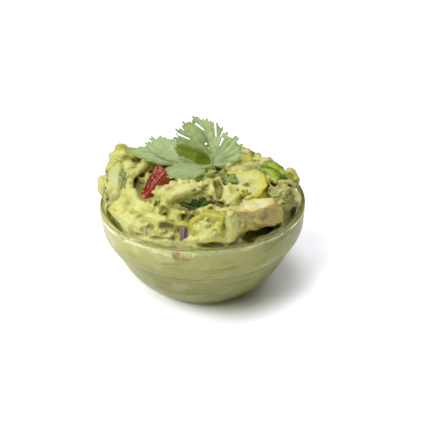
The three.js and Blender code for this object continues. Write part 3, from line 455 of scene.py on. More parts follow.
def heapField(axes):
    cell = axes[0][1] - axes[0][0]
    plain = [a.astype(np.float32) for a in np.meshgrid(*axes, indexing="ij")]
    x, y, z = plain
    bent = [a.copy() for a in plain]
    for size, depth, seed in heap["crags"]:
        for k, part in enumerate((1, 1, 0.8)):
            bent[k] += part * depth * gridNoise(axes, size, seed + k)
    field = (bent[2] - domeHeight(*bent[:2])) * heap["steepness"]
    calm = np.zeros_like(field)
    size, depth, seed = heap["wander"]
    wander = depth * np.stack([gridNoise(axes, size, seed + k) for k in range(3)], -1)
    blend = heap["blend"]

    def around(low, high, margin):  # the part of the grid that holds both corners
        return tuple(slice(max(0, np.searchsorted(a, lo - margin) - 1), np.searchsorted(a, hi + margin) + 1)
                     for a, lo, hi in zip(axes, low, high))

    def cut(grids, box, at=(0, 0, 0), axis=-1):
        return np.stack([g[box] - m for g, m in zip(grids, at)], axis)

    def addBlocks(kind, heightAt, grids):
        c = heap[kind]
        for at, half, turn in scatter(kind, heightAt):
            box = around(at, at, max(half) * c["margin"][0] + c["margin"][1])
            q = np.tensordot(turn, cut(grids, box, at, 0), 1) / np.array(half)[:, None, None, None]
            field[box] = smoothMin(field[box], (blockShape(q, c["power"]) - 1) * min(half), c["blend"])

    def addRopes(paths, grids, move, kind, hold, sign=1):  # ropes thin out to both ends; sign -1 carves them
        for path, radius in paths:
            spine = curvePoints(path, heap["ropeSteps"])
            box = around(spine.min(0), spine.max(0), radius + 5)
            radii = radius * (1 - 0.5 * np.linspace(-1, 1, len(spine)) ** 2)
            away = ropeDistance(cut(grids, box) + move[box], spine, radii)
            calm[box] = np.maximum(calm[box], hold * share(1 - away / 1.5))
            field[box] = sign * smoothMin(sign * field[box], away, blend[kind])

    addBlocks("morsels", lambda x, y: float(domeHeight(x, y)), bent)
    addRopes(folds, bent, np.zeros_like(wander), "fold", 0.7)
    for at, radius in lumps:
        box = around(at, at, radius + 5)
        field[box] = smoothMin(field[box], np.sqrt(sum((g[box] - a) ** 2 for g, a in zip(bent, at))) - radius, blend["lump"])
    for at, radii in hollows:
        box = around(at, at, max(radii) + 4)
        k = np.sqrt(sum(((g[box] - a) / r) ** 2 for g, a, r in zip(bent, at, radii)))
        field[box] = -smoothMin(-field[box], (k - 1) * min(radii), blend["hollow"])
    # mash smeared up the sides of the chunks and over parts of them
    for c in chunks.values():
        if "smear" in c:
            box = around(c["at"], c["at"], max(c["size"]) * 0.75 + 3)
            skin = (cutShape(c, cut(plain, box, c["at"])) - 1) * min(c["size"]) / 2 + c["smear"]
            sub = [a[s] for a, s in zip(axes, box)]
            skin += sum(depth * gridNoise(sub, size, seed) for size, depth, seed in heap["smearNoise"])
            field[box] = smoothMin(field[box], skin, blend["smear"])
    addRopes(ridges, plain, wander, "ridge", 1)
    addRopes(grooves, plain, wander, "groove", 0, -1)
    heights = surfaceHeights(field, axes)
    addBlocks("crumbs", lambda x, y: heights[np.searchsorted(axes[0], x), np.searchsorted(axes[1], y)], plain)
    # rolls and torn ridges, drawn out one way, on what lies near the surface
    close = np.abs(field) < 3
    there = np.stack([a[close] for a in plain], 1)
    steep = np.clip(np.sqrt(sum(g ** 2 for g in np.gradient(field, cell)))[close], 0.15, 1)
    smooth = np.clip(0.75 + 0.9 * pointNoise(there, 17, 70), 0.15, 1.2) * steep * (1 - heap["calm"] * calm[close])
    for size, depth, seed in heap["swells"]:
        field[close] -= depth * smooth * flowNoise(there, size, seed)
    for size, depth, seed in heap["tears"]:
        field[close] += depth * smooth * (np.minimum(np.abs(flowNoise(there, size, seed)) * 1.8, 1) - 0.5)
    size, depth, seed = heap["grain"]
    field[close] -= depth * steep * pointNoise(there, size, seed)
    field = smoothMin(field, z - pitFloor(surfaceHeights(field, axes), cell)[:, :, None], 0.5)
    # the gap along the glass, and how far the heap reaches over the rim
    moat, o, leftward = heap["moat"], heap["overhang"], leftShare(x, y)
    broken = gridNoise(axes, *moat["broken"])
    edge, torn = (depth * gridNoise(axes, size, seed) for size, depth, seed in (moat["edge"], moat["torn"]))
    ragged = sum(depth * gridNoise(axes, size, seed) for size, depth, seed in moat["waterline"])
    waterline = moat["deep"] + moat["leftDeep"] * leftward + ragged
    gap = moat["wide"] + moat["leftWide"] * leftward + edge + leftward * (broken + torn)
    wall = (innerRadius(rim + np.minimum(axes[2], -0.4)) + heap["intoGlass"]).astype(np.float32) - gap * share((z + waterline) / 0.8)
    limit = o["frontRadius"] + (o["radius"] - o["frontRadius"]) * share((y - o["fromY"]) / o["overY"]) \
        - leftward * share((6 - z) / 4) * (1.6 * moat["leftWide"] + 1.2 * broken) + edge + 0.15 * np.clip(z, 0, 8)
    field = np.maximum(field, np.hypot(x, y) - np.where(z > o["clearance"], limit, wall))
    return np.maximum(field, heap["floor"] + 1 - z)


def surfaceNets(field, origin, cell):  # quads round every place where the field changes sign
    cells = np.array(field.shape) - 1
    total = cells.prod()
    sums, hits, quads = np.zeros((total, 3)), np.zeros(total), []
    for axis, p, q in ((0, 1, 2), (1, 2, 0), (2, 0, 1)):
        low, high = [slice(None)] * 3, [slice(None)] * 3
        low[axis], high[axis] = slice(0, -1), slice(1, None)
        a, b = field[tuple(low)], field[tuple(high)]
        crossed = (a < 0) != (b < 0)
        index = np.array(np.nonzero(crossed)).T
        va, vb = a[crossed].astype(float), b[crossed].astype(float)
        point = index.astype(float)
        point[:, axis] += va / (va - vb)
        inside = (index[:, p] > 0) & (index[:, q] > 0) & (index[:, p] < cells[p]) & (index[:, q] < cells[q])
        corners = []
        for dp, dq in ((-1, -1), (0, -1), (0, 0), (-1, 0)):
            near = index.copy()
            near[:, p] += dp
            near[:, q] += dq
            good = ((near >= 0) & (near < cells))[:, [p, q]].all(1)
            number = (near[:, 0] * cells[1] + near[:, 1]) * cells[2] + near[:, 2]
            for k in range(3):
                sums[:, k] += np.bincount(number[good], point[good, k], total)
            hits += np.bincount(number[good], minlength=total)
            corners.append(number)
        quad = np.stack(corners, 1)[inside]
        turned = va[inside] > 0
        quad[turned] = quad[turned][:, ::-1]
        quads.append(quad)
    points, faces = onlyUsed(np.column_stack([sums, hits]), np.concatenate(quads))
    return points[:, :3] / points[:, 3:] * cell + origin, faces


def flatUnderside(points, faces, height):  # one fan of faces takes the place of the flat bottom
    levels = points[faces][:, :, 2]
    faces = faces[~((levels < height).all(1) & (np.ptp(levels, axis=1) < 0.05))]
    hem = openEdges(faces, len(points))
    middle = np.full(len(hem), len(points))
    fan = np.stack([hem[:, 1], hem[:, 0], middle, middle], 1)
    return onlyUsed(np.vstack([points, [[0, 0, points[hem.ravel(), 2].min()]]]), np.concatenate([faces, fan]))


def vertexNormals(points, quads):
    a, b, c, d = (points[quads[:, k]] for k in range(4))
    flat = np.cross(c - a, d - b)
    normals = np.zeros_like(points)
    for k in range(4):
        for axis in range(3):
            normals[:, axis] += np.bincount(quads[:, k], flat[:, axis], len(points))
    return normals / np.maximum(np.linalg.norm(normals, axis=1), 1e-9)[:, None]


# materials
def srgb(*colour):
    return tuple(c / 12.92 if c <= 0.04045 else ((c + 0.055) / 1.055) ** 2.4 for c in (v / 255 for v in colour)) + (1,)


def fill(tree, made, values):  # sets inputs, or links them when the value is another node's output
    for key, value in values.items():
        if isinstance(value, bpy.types.NodeSocket):
            tree.links.new(value, made.inputs[key])
        else:
            made.inputs[key].default_value = value
    return made


def node(tree, kind, values={}, **settings):
    made = tree.nodes.new("ShaderNode" + kind)
    for key, value in settings.items():
        setattr(made, key, value)
    return fill(tree, made, values)


def calculate(tree, how, *values):
    return node(tree, "Math", dict(enumerate(values)), operation=how).outputs[0]


def ramp(tree, value, low, high):
    ends = {"Value": value, "From Min": low, "From Max": high}
    return node(tree, "MapRange", ends, interpolation_type="SMOOTHSTEP").outputs[0]


def objectPoint(tree):
    return node(tree, "TexCoord").outputs["Object"]


def noise(tree, where, scale, detail, roughness=0.5, distortion=0.0):
    values = {"Vector": where, "Scale": scale, "Detail": detail, "Roughness": roughness, "Distortion": distortion}
    return node(tree, "TexNoise", values).outputs["Fac"]


def newMaterial(name):
    material = bpy.data.materials.new(name)
    material.use_nodes = True
    material.node_tree.nodes.clear()
    return material, material.node_tree


def finishMaterial(tree, shader):
    tree.links.new(shader.outputs[0], tree.nodes.new("ShaderNodeOutputMaterial").inputs[0])


def newGroup(name, inputs, outputs):
    group = bpy.data.node_groups.new(name, "ShaderNodeTree")
    for way, keys in (("INPUT", inputs), ("OUTPUT", outputs)):
        for key in keys:
            group.interface.new_socket(key, in_out=way, socket_type="NodeSocketFloat")
    return group, group.nodes.new("NodeGroupInput"), group.nodes.new("NodeGroupOutput")


def buildMottle():  # soft patches and small flecks shared by the mash, the chunks and the leaves
    group, start, end = newGroup("mottle", ["Patch Scale", "Fleck Scale", "Seed"], ["Patches", "Flecks", "Grain"])
    patch, fleck, seed = start.outputs["Patch Scale"], start.outputs["Fleck Scale"], start.outputs["Seed"]
    move = node(group, "CombineXYZ", {"X": seed, "Y": seed}).outputs[0]
    spot = node(group, "VectorMath", {0: objectPoint(group), 1: move}, operation="ADD").outputs[0]
    flecks = node(group, "TexVoronoi", {"Vector": spot, "Scale": fleck, "Randomness": 1.0}, feature="F1").outputs["Distance"]
    fill(group, end, {"Patches": noise(group, spot, patch, 5.0, 0.62, 0.6), "Flecks": flecks,
                      "Grain": noise(group, spot, fleck, 4.0, 0.7)})
    return group


def buildStreaks():  # long smears of mash wiped along the glass
    group, start, end = newGroup("streaks", [], ["Dark", "Pale", "Height"])
    where = objectPoint(group)
    flat = node(group, "Mapping", {"Vector": where, "Scale": (1.0, 1.0, 4.5)}).outputs[0]
    long = noise(group, flat, 38.0, 6.0, 0.62, 0.9)
    pale = ramp(group, noise(group, where, 120.0, 3.0, 0.55), 0.5, 0.68)
    fill(group, end, {"Dark": ramp(group, long, 0.52, 0.36), "Pale": pale, "Height": long})
    return group


mottle = buildMottle()
streaks = buildStreaks()


# Paints a material in layers of (where it shows, how strongly, colour). Where is a source: an attribute's name,
# a texture's name and output, (source, low, high) for a soft step, or (operation, source, source).
def dress(name, look, textures, layers, ending=None):
    material, tree = newMaterial(name)
    shader = node(tree, "BsdfPrincipled")
    made = {}
    for key, values in textures.items():
        made[key] = values(tree) if callable(values) else node(tree, "Group", dict(enumerate(values[1:])), node_tree=values[0])

    def find(source):
        if isinstance(source, str):
            key, dot, output = source.partition(".")
            if key not in made:
                made[key] = node(tree, "Attribute", attribute_name=key).outputs["Fac"]
            return made[key].outputs[output] if output else made[key]
        if isinstance(source, tuple) and source[0] in ("MULTIPLY", "SUBTRACT"):
            return calculate(tree, source[0], find(source[1]), find(source[2]))
        return ramp(tree, find(source[0]), *source[1:]) if isinstance(source, tuple) else source

    def paint(colour, rows):
        for where, amount, over in rows:
            mask = find(where if amount == 1 else ("MULTIPLY", where, amount))
            over = paint(look[over[0]], over[1]) if isinstance(over, tuple) else look[over]
            colour = node(tree, "Mix", {0: mask, 6: colour, 7: over}, data_type="RGBA").outputs[2]
        return colour

    colour = paint(look["base"], layers)
    settings = {"Base Color": colour, **look.get("shader", {})}
    if "rough" in look:
        source, low, high = look["rough"]
        ends = {"Value": find(source), "From Min": 0.3, "From Max": 0.7, "To Min": low, "To Max": high}
        settings["Roughness"] = node(tree, "MapRange", ends).outputs[0]
    for source, strength, distance in look.get("bumps", []):
        values = {"Height": find(source), "Strength": strength, "Distance": distance}
        if "Normal" in settings:
            values["Normal"] = settings["Normal"]
        settings["Normal"] = node(tree, "Bump", values).outputs[0]
    fill(tree, shader, settings)
    finishMaterial(tree, ending(tree, shader, settings) if ending else shader)
    return material


wipedLook = {"wiped": srgb(211, 210, 126), "wipedDark": srgb(184, 184, 88), "wipedPale": srgb(228, 226, 170)}
wipedLayers = [("smears.Pale", 1, "wipedPale"), ("smears.Dark", 1, "wipedDark")]
mashLook = {
    # ridge is a pale mash colour, laid in random patches and also as painted light on open places and on the crests of
    # ridges and folds
    **wipedLook, "base": srgb(182, 180, 50), "ridge": srgb(236, 236, 152), "body": srgb(220, 218, 106),
    # deep is a painted shade colour for hollows, tight creases, grooves and the gap along the glass
    "deep": srgb(108, 100, 10), "pale": srgb(238, 237, 184), "yellow": srgb(246, 236, 96),
    "rough": ("fine.Patches", 0.26, 0.55), "bumps": [("crumbs.Patches", 0.75, 0.001), ("fine.Grain", 0.4, 0.00025)],
    "shader": {"Subsurface Weight": 0.3, "Subsurface Radius": (1.0, 0.8, 0.3), "Subsurface Scale": 0.0012, "IOR": 1.42,
               "Coat Weight": 0.3, "Coat Roughness": 0.18},
}
mashTextures = {"broad": (mottle, 95.0, 700.0, 0.37), "fine": (mottle, 330.0, 2200.0, 1.9),
                "crumbs": (mottle, 620.0, 4200.0, 5.3), "smears": (streaks,)}
mashLayers = [
    (("drawn", 0.3, 0.7), 1, "body"),
    (("broad.Patches", 0.5, 0.7), 1, "pale"),
    (("fine.Patches", 0.5, 0.7), 1, "ridge"),
    (("crumbs.Patches", 0.46, 0.36), 0.55, "base"),
    (("crumbs.Patches", 0.56, 0.68), 0.6, "pale"),
    # painted light: open, exposed places and the crests of ridges and folds take the pale ridge colour
    (("open", 0.7, 1.1), 0.7, "ridge"),
    ("crest", 0.5, "ridge"),
    # the firm yellow bits, and painted light on the tall peak at the back left
    ("fresh", 1, "yellow"),
    # painted shade: hollows and tight creases, the grooves, the lower insides of the hollows and the gap along the
    # glass take the dark deep colour
    (("open", 0.62, 0.1), 1, "deep"),
    (("close", 0.75, 0.1), 0.35, "deep"),
    ("gully", 0.9, "deep"),
    ("pressed", 1, ("wiped", wipedLayers)),
]


# build the heap
def buildHeap():
    cell = heap["cell"] * 1
    plan, look = np.arange(-heap["half"], heap["half"] + 0.01, cell), heap["shading"]
    axes = [plan, plan, np.arange(heap["floor"], heap["top"], cell)]
    field = heapField(axes)
    points, faces = surfaceNets(field, np.array([a[0] for a in axes]), cell)
    points, faces = flatUnderside(points, faces, heap["floor"] + 1 + cell)
    normals = vertexNormals(points, faces)
    x, y, z = points.T

    def clearance(reach):  # 1 where nothing stands near, 0 in a tight crease
        return sampleField(field, axes, points + normals * reach) / reach

    def awayFrom(path):
        spine = curvePoints(path, heap["ropeSteps"])
        return ropeDistance(points, spine, np.zeros(len(spine)))

    fresh, crest, gully = (np.zeros(len(points)) for _ in range(3))
    size, depth, seed = look["fresh"]
    ragged = depth * pointNoise(points, size, seed)
    for at, radius, strength in freshAndLitBits:
        away = np.linalg.norm(points - at, axis=1) + ragged
        fresh = np.maximum(fresh, strength * share(1.3 - away / radius))
    # painted light: marks the crests of the ridges and folds, which the material paints paler
    for path, radius in ridges + folds:
        crest = np.maximum(crest, share(1.9 - awayFrom(path) / radius * 0.95))
    for path, radius in grooves:
        # painted shade: marks the grooves, the lower half of each hollow and the gap along the glass, which the
        # material paints dark
        gully = np.maximum(gully, share(1.7 - awayFrom(path) / radius))
    for at, radii in hollows:
        inside = share((1.35 - np.sqrt((((points - at) / radii) ** 2).sum(1))) / 0.35)
        gully = np.maximum(gully, 0.6 * inside * share((at[2] - z) / radii[2] * 2))
    inward = np.hypot(x, y) - innerRadius(rim + np.minimum(z, -0.4))
    gap = leftShare(x, y) * share((inward + 4.5) / 2) * share((2.5 - z) / 2) * share((z + 9) / 2)
    print("heap", len(points), "points")
    return points + [0, 0, rim], faces, {
        "open": np.clip(sum(0.5 * clearance(reach) for reach in look["open"]), 0, 1.2),
        "close": np.clip(clearance(look["close"]), 0, 1.4),
        "drawn": 0.5 + 0.5 * flowNoise(points, *look["drawn"]), "fresh": fresh, "crest": crest, "gully": np.maximum(gully, gap),
        "pressed": (1 - gap) * share((inward + 1.4) / 1.2) * share(0.6 - z)}


points, faces, values = buildHeap()
mash = dress("mash", mashLook, mashTextures, mashLayers)
makePiece("guacamoleTop", points, faces, mash, "guacamole", "guacamole", values)


# what lies against the glass below the heap, reaching just into the wall
filling = {"around": 160, "below": 2.0}
# painted shade: the lid, the flat top seen through the glass below the heap, takes the mash's dark deep colour
fillingLook = {**wipedLook, "base": wipedLook["wiped"], "lid": mashLook["deep"], "bumps": [("smears.Height", 0.2, 0.0004)],
               "shader": {"Roughness": 0.5, "Specular IOR Level": 0.2}}


def fillingMesh():
    low, top = bowl["floorTop"], rim + heap["floor"] + filling["below"]
    bottom = low - heap["intoGlass"]
    heights = np.concatenate([np.linspace(bottom, low + 1.2, 4)[1:], np.linspace(low + 1.6, top, 60)])
    side = [(float(innerRadius(h)) + heap["intoGlass"], h) for h in heights]
    lid = [(float(innerRadius(top)) - 0.4, top + 0.05), (40, top + 0.4), (0, top + 0.4)]
    points, faces = lathe([(0, bottom), (14, bottom)] + side + lid, filling["around"])
    onLid = np.arange(len(points)) > len(points) - 2 * filling["around"] - 2
    return points, faces, {"lid": onLid.astype(float)}


points, faces, values = fillingMesh()
onGlass = dress("mashOnGlass", fillingLook, {"smears": (streaks,)}, wipedLayers + [("lid", 1, "lid")])
makePiece("guacamoleInGlass", points, faces, onGlass, "guacamole", "guacamole", values)


# the glass
glassLook = {"base": srgb(250, 253, 248), "shadow": (0.95, 0.97, 0.94, 1), "bumps": [("ripple", 0.12, 0.0006)],
             "shader": {"Transmission Weight": 1.0, "IOR": 1.5, "Roughness": 0.02}}


def clearShadow(tree, shader, settings):
    clear = node(tree, "BsdfTransparent", {"Color": glassLook["shadow"]})
    inShadow = node(tree, "LightPath").outputs["Is Shadow Ray"]
    return node(tree, "MixShader", {0: inShadow, 1: shader.outputs[0], 2: clear.outputs[0]})


def bowlMesh():
    recess, inside, outside, low = bowl["footRecess"], bowl["footInner"], bowl["footOuter"], bowl["floorTop"]
    foot = [(0, recess), (inside - 2, recess), (inside - 1, 0.55), (inside, 0.15), (inside + 0.8, 0)]
    heel = bend((outside - 0.4, 0), (outside + 0.8, 0.1), bowl["body"][0], 5)[:-1]
    turns = np.linspace(0, math.pi, 13)[1:-1]
    crown = [(bowl["rimRadius"] - lip + lip * math.cos(a), rim - lip + lip * math.sin(a)) for a in turns]
    floor = bend(innerLine[-1], (24.6, low + 0.1), (17, low), 6)[1:]
    return lathe(foot + heel + list(outerLine) + crown + list(innerLine) + floor + [(0, low)], bowl["around"])


ripple = {"ripple": lambda tree: noise(tree, objectPoint(tree), 70.0, 2.0)}
makePiece("glassBowl", *bowlMesh(), dress("clearGlass", glassLook, ripple, [], clearShadow), "bowl", "glass")


# avocado, tomato, onion and pepper
def blockMesh(c, fineDepth, count):
    line = np.linspace(-1, 1, count + 1)
    index, points, faces = {}, [], []

    def corner(axis, side, a, b):
        p = [0, 0, 0]
        p[axis], p[(axis + 1) % 3], p[(axis + 2) % 3] = side, line[a], line[b]
        key = tuple(round(v, 6) for v in p)
        if key not in index:
            index[key] = len(points)
            points.append(p)
        return index[key]

    for axis in range(3):
        for side in (-1, 1):
            for i, j in np.ndindex(count + 1, count + 1):
                corner(axis, side, i, j)
            for i, j in np.ndindex(count, count):
                face = [corner(axis, side, a, b) for a, b in ((i, j), (i + 1, j), (i + 1, j + 1), (i, j + 1))]
                faces.append(face[::side])
    p = np.sin(np.array(points) * math.pi / 4) * math.sqrt(2)
    p = (unit(p) * c["size"]) @ turnOf(c).T
    p /= cutShape(c, p)[:, None]
    normals, distances, tones = planesOf(c)
    shares = cutShares(c, p)
    ranked = np.sort(shares, axis=1)
    edge = np.exp(-((ranked[:, -1] - ranked[:, -2]) / c.get("edgeWidth", 0.13)) ** 2)
    weight = shares ** (0.6 * c["power"])
    crumb = c["rough"] * (pointNoise(p, 4.2, c["seed"]) + 0.45 * pointNoise(p, 2.1, c["seed"] + 1))
    ragged = np.abs(pointNoise(p, 1.6, c["seed"] + 5)) - 0.4 + 0.5 * pointNoise(p, 0.8, c["seed"] + 6)
    swell = (crumb + c.get("fine", fineDepth) * ragged) / np.maximum(np.linalg.norm(p, axis=1), 3)
    sunk = 0
    for k, depth in c.get("dish", []):
        clear = (shares[:, k] - np.delete(shares, k, 1).max(1)) / 0.45
        sunk = sunk + depth * fade(share(clear))[:, None] * normals[k]
    return p * (1 + swell)[:, None] - sunk + np.array(c["at"]) + [0, 0, rim], faces, \
        {"edge": edge, "tone": (weight @ tones) / weight.sum(1)}


def makeBlock(name, count, fineDepth, material, slot):
    points, faces, values = blockMesh(chunks[name], fineDepth, count)
    makePiece(camel(name), points, faces, material, name, slot, values)


fleshLook = {
    "pale": srgb(236, 232, 188), "rough": ("fine.Patches", 0.28, 0.55), "bumps": [("fine.Patches", 0.4, 0.0005)],
    "shader": {"Subsurface Weight": 0.3, "Subsurface Radius": (1.0, 0.85, 0.4), "Subsurface Scale": 0.002},
}
fleshColours = {  # the flesh of the top, of the sides, and along the edges; the paler tops and darker sides are partly the flesh's own colour and partly painted light and painted shade, and the bright yellow edges are partly a painted highlight
    "avocado_chunk_front": [(186, 176, 96), (176, 176, 70), (204, 198, 66)],
    "avocado_chunk_right": [(240, 228, 180), (186, 164, 104), (210, 196, 96)],
    "avocado_slab_middle": [(228, 228, 160), (198, 190, 66), (212, 206, 72)],
    "avocado_chunk_side": [(196, 200, 140), (150, 148, 80), (190, 192, 100)],
    "avocado_slice_left": [(216, 222, 168), (200, 204, 126), (204, 204, 96)],
}
fleshLayers = [
    # tone brings in the paler top colour face by face: partly the flesh's own colour, partly painted light on the tops
    # and painted shade on the sides
    ("tone", 1, "top"),
    (("broad.Patches", 0.6, 0.4), 0.55, "edge"),
    # the bright yellow along the edges, partly the flesh's own colour and partly a painted highlight
    ("edge", ("broad.Patches", 0.2, 0.6), "edge"),
    (("fine.Patches", 0.52, 0.75), 0.35, "pale"),
]
for order, (name, (top, side, edge)) in enumerate(fleshColours.items()):
    look = {**fleshLook, "top": srgb(*top), "base": srgb(*side), "edge": srgb(*edge)}
    textures = {"broad": (mottle, 95.0, 600.0, 4.1 + order), "fine": (mottle, 260.0, 1800.0, 7.1 + order)}
    makeBlock(name, 34, 0.3, dress(camel(name) + "Flesh", look, textures, fleshLayers), "avocado")

tomatoLook = {
    "base": srgb(104, 16, 12), "skin": srgb(150, 34, 22), "flesh": srgb(166, 46, 22), "fleshPale": srgb(206, 92, 48),
    "seed": srgb(232, 170, 116), "bumps": [("m.Patches", 0.7, 0.0008)],
    "shader": {"Subsurface Weight": 0.2, "Subsurface Radius": (1.0, 0.3, 0.15), "Subsurface Scale": 0.0012, "Roughness": 0.28,
               "Coat Weight": 0.3, "Coat Roughness": 0.15},
}
tomatoLayers = [
    (("m.Patches", 0.38, 0.62), 1, "skin"),
    ("tone", 1, ("flesh", [(("m.Patches", 0.4, 0.6), 1, "fleshPale")])),
    (("m.Flecks", 0.24, 0.1), 1, "seed"),
]
makeBlock("tomato_piece", 34, 0.4, dress("tomatoFlesh", tomatoLook, {"m": (mottle, 190.0, 520.0, 7.7)}, tomatoLayers), "tomato")

# the low piece of tomato lies against the glass, smeared over with mash
lowTomato = {"angle": -102, "height": 43.4, "width": 11, "tall": 5.0, "deep": 3.2}
lowTomatoLook = {"base": srgb(170, 110, 74), "mash": wipedLook["wiped"], "shader": {"Roughness": 0.5}}
lowAngle = math.radians(lowTomato["angle"])
lowReach = float(innerRadius(lowTomato["height"])) + 0.45 - lowTomato["deep"] / 2
chunks["tomato_piece_low"] = {
    "at": (lowReach * math.cos(lowAngle), lowReach * math.sin(lowAngle), lowTomato["height"] - rim),
    "size": (lowTomato["width"], lowTomato["deep"], lowTomato["tall"]),
    "turn": (0, 0, lowTomato["angle"] + 90), "power": 2.2, "rough": 0.5, "seed": 39}
pressedTomato = dress("tomatoPressed", lowTomatoLook, {"m": (mottle, 260.0, 1300.0, 2.9)}, [(("m.Patches", 0.4, 0.6), 1, "mash")])
makeBlock("tomato_piece_low", 18, 0.1, pressedTomato, "tomato")

onionLook = {"base": srgb(156, 144, 138), "band": srgb(106, 78, 98), "mash": srgb(160, 140, 70),
             "shader": {"Roughness": 0.25, "Subsurface Weight": 0.3, "Subsurface Scale": 0.001}}
onionWaves = {"Scale": 170.0, "Distortion": 4.0, "Detail": 3.0}
onionTextures = {"m": (mottle, 300.0, 1500.0, 6.1),
                 "bands": lambda tree: node(tree, "TexWave", {"Vector": objectPoint(tree), **onionWaves}).outputs["Fac"]}
onionFlesh = dress("onionFlesh", onionLook, onionTextures, [("bands", 1, "band"), (("m.Patches", 0.5, 0.6), 1, "mash")])
makeBlock("onion_piece", 18, 0.1, onionFlesh, "onion")

pepperLook = {"base": srgb(84, 118, 6), "light": srgb(200, 218, 72), "shader": {"Roughness": 0.35}, "bumps": [("m.Patches", 0.5, 0.0006)]}
pepperSkin = dress("pepperSkin", pepperLook, {"m": (mottle, 150.0, 900.0, 9.2)}, [(("m.Patches", 0.38, 0.64), 1, "light")])
makeBlock("pepper_piece", 24, 0.3, pepperSkin, "green_pepper")


# coriander: each leaf is two or three sheets, and each sheet a few toothed lobes that grow from one root
# a lobe is its root, its tip, its width and its number of teeth, in the flat of the leaf
leafSheet = {"thickness": 0.5, "cell": 0.3, "toothDepth": 0.22, "rootWidth": 0.7, "fanFrom": 0.52, "web": 0.35, "valley": 0.55}
# a sheet's tone, from 0 to 1, paints shade over it with the leaf's shade colour
sprigLeaves = {
    "upright": {
        "middle": (3.7, 3.5, 26.3), "across": (1, -0.16, 0), "upward": (0.06, 0.46, 0.885), "neck": (2.6, -9.9), "cup": 2.2, "ripple": 0.8,
        "seed": 51,
        "slits": [((-1.2, 2.6), (2.2, -2.4), 0.55), ((7.2, 5.4), (5.8, 1.8), 0.5), ((-6.6, 12.4), (-2.6, 9.4), 0.5),
            ((-15.5, 6.9), (-9.5, 4.6), 0.45), ((3, 14.6), (3.7, 6.4), 0.55), ((8.6, 12.4), (6, 6.4), 0.4)],
        "sheets": [
            {"lift": 0, "tone": 0.25, "lobes": [((2, -5), (-17.6, 5.4), 7.6, 5), ((1.8, -5), (-17, 9.6), 6.6, 5),
                ((1.6, -5), (-13.4, 13.6), 7, 5), ((1, -4.6), (-9.4, 14.4), 6.4, 4)]},
            {"lift": 3.4, "tone": 1, "lobes": [((2, -6.5), (-16.4, 0.8), 7.6, 6), ((2.2, -6.8), (-14.4, -4), 6.6, 5),
                ((2.5, -7.6), (-7.5, -7.2), 4.8, 3)]},
            {"lift": -0.7, "tone": 0.1, "lobes": [((2.6, -3.8), (-2.4, 15.8), 9.4, 6), ((1, 7), (-8.8, 16.4), 4.6, 3),
                ((2.9, -4), (3.2, 14), 7, 4), ((2.9, -4), (6.2, 11.8), 6.6, 4), ((3, -4), (9.6, 9), 5.6, 3)]},
            {"lift": 0.1, "tone": 0.15, "lobes": [((3.2, -5.4), (11, 6.6), 4.6, 3), ((3.2, -6), (15.6, 7.2), 5.6, 4),
                ((3.2, -6.4), (18, 3.2), 4.8, 3), ((3, -7.4), (18.2, -1.2), 6.6, 4), ((3, -7.8), (14, -5.4), 5, 2)]},
        ]},
    "left": {
        "middle": (-21.2, 3.4, 26), "across": (1, -0.12, 0.1), "upward": (0.1, 0.76, 0.64), "neck": (19.6, -8.7), "cup": -1.4,
        "ripple": 0.8, "seed": 52,
        "sheets": [
            {"lift": 0, "tone": 0.35, "lobes": [((13, -7.8), (-17, 3.2), 7.4, 4), ((11, -7.4), (-9.4, -1.6), 6, 3)]},
            {"lift": 0.5, "tone": 0.2, "lobes": [((11, -7.2), (-7.6, 5.4), 6, 5), ((11, -7.2), (-5, 8.6), 5.2, 4),
                ((11, -7.2), (-0.6, 9.2), 4.8, 4), ((11, -7.2), (3, 7.8), 4, 3), ((11.4, -7.2), (6.8, 7), 4.8, 4),
                ((12, -7.6), (10.4, 2.6), 5.4, 3)]},
            {"lift": -0.1, "tone": 0.5, "lobes": [((20, -9), (1, -3.6), 6.4, 0)]},
        ]},
    "front": {
        "middle": (-9.7, -9.2, 21.5), "across": (0.98, -0.1, 0.02), "upward": (0.1, 0.95, 0.26), "neck": (14, 3.5), "cup": -0.9,
        "ripple": 0.4, "seed": 53,
        "sheets": [
            {"lift": 0, "tone": 0.3, "lobes": [((10, 1.6), (-9.8, -0.2), 8.2, 6), ((9, 0.8), (-7.4, -4.6), 6.6, 5),
                ((9, 0.8), (-2.2, -6.6), 6.4, 5), ((10, 1.4), (3.6, -5.4), 6, 4), ((10, 2), (-5.4, 3.8), 5.8, 4),
                ((11, 2), (8, -2.6), 5, 2)]},
        ]},
}
stalk = {"root": [(6.2, -3.4, 16.6), (5.8, -2.6, 18.6)], "radius": 0.8, "thinnest": 0.4}


def lobeField(lobe, u, v):  # below 0 inside the lobe; with it, how near each point is to a vein, and to the lobe's side
    root, tip, width, teeth = lobe
    reach = math.hypot(tip[0] - root[0], tip[1] - root[1])
    ahead = ((tip[0] - root[0]) / reach, (tip[1] - root[1]) / reach)
    t = (u - root[0]) * ahead[0] + (v - root[1]) * ahead[1]
    q = (v - root[1]) * ahead[0] - (u - root[0]) * ahead[1]
    fan = leafSheet["fanFrom"] * reach
    a, b = (t - fan) / (reach - fan), q / (width / 2)
    turn, out = np.arctan2(b, a), np.hypot(a, b)
    outline = 1.0
    if teeth:
        x = turn / math.pi * (teeth + 0.6) + 0.5 * (teeth % 2)
        bite = np.abs(2 * (x - np.floor(x)) - 1) ** 1.9
        outline = 1 - leafSheet["toothDepth"] * bite * share(1.35 - np.abs(turn) / 2)
    fanField = (out - outline) * min(reach - fan, width / 2)
    half = leafSheet["rootWidth"] + (width / 2 - leafSheet["rootWidth"]) * share(t / fan) ** 0.8
    wedge = np.maximum(np.abs(q) - half, np.maximum(-t, t - fan))
    vein = np.exp(-(q / 0.28) ** 2) * (t > 0) * (t < reach)
    ribs = max(teeth, 2)
    for k in range(ribs):
        aim = turn - math.pi * (k + 0.5 - ribs / 2) / (ribs + 0.6)
        beside = np.abs(np.sin(aim)) * out * width / 2
        vein = np.maximum(vein, 0.7 * np.exp(-(beside / 0.22) ** 2) * (np.cos(aim) > 0))
    return np.minimum(fanField, wedge), vein, np.abs(q) / (width / 2)


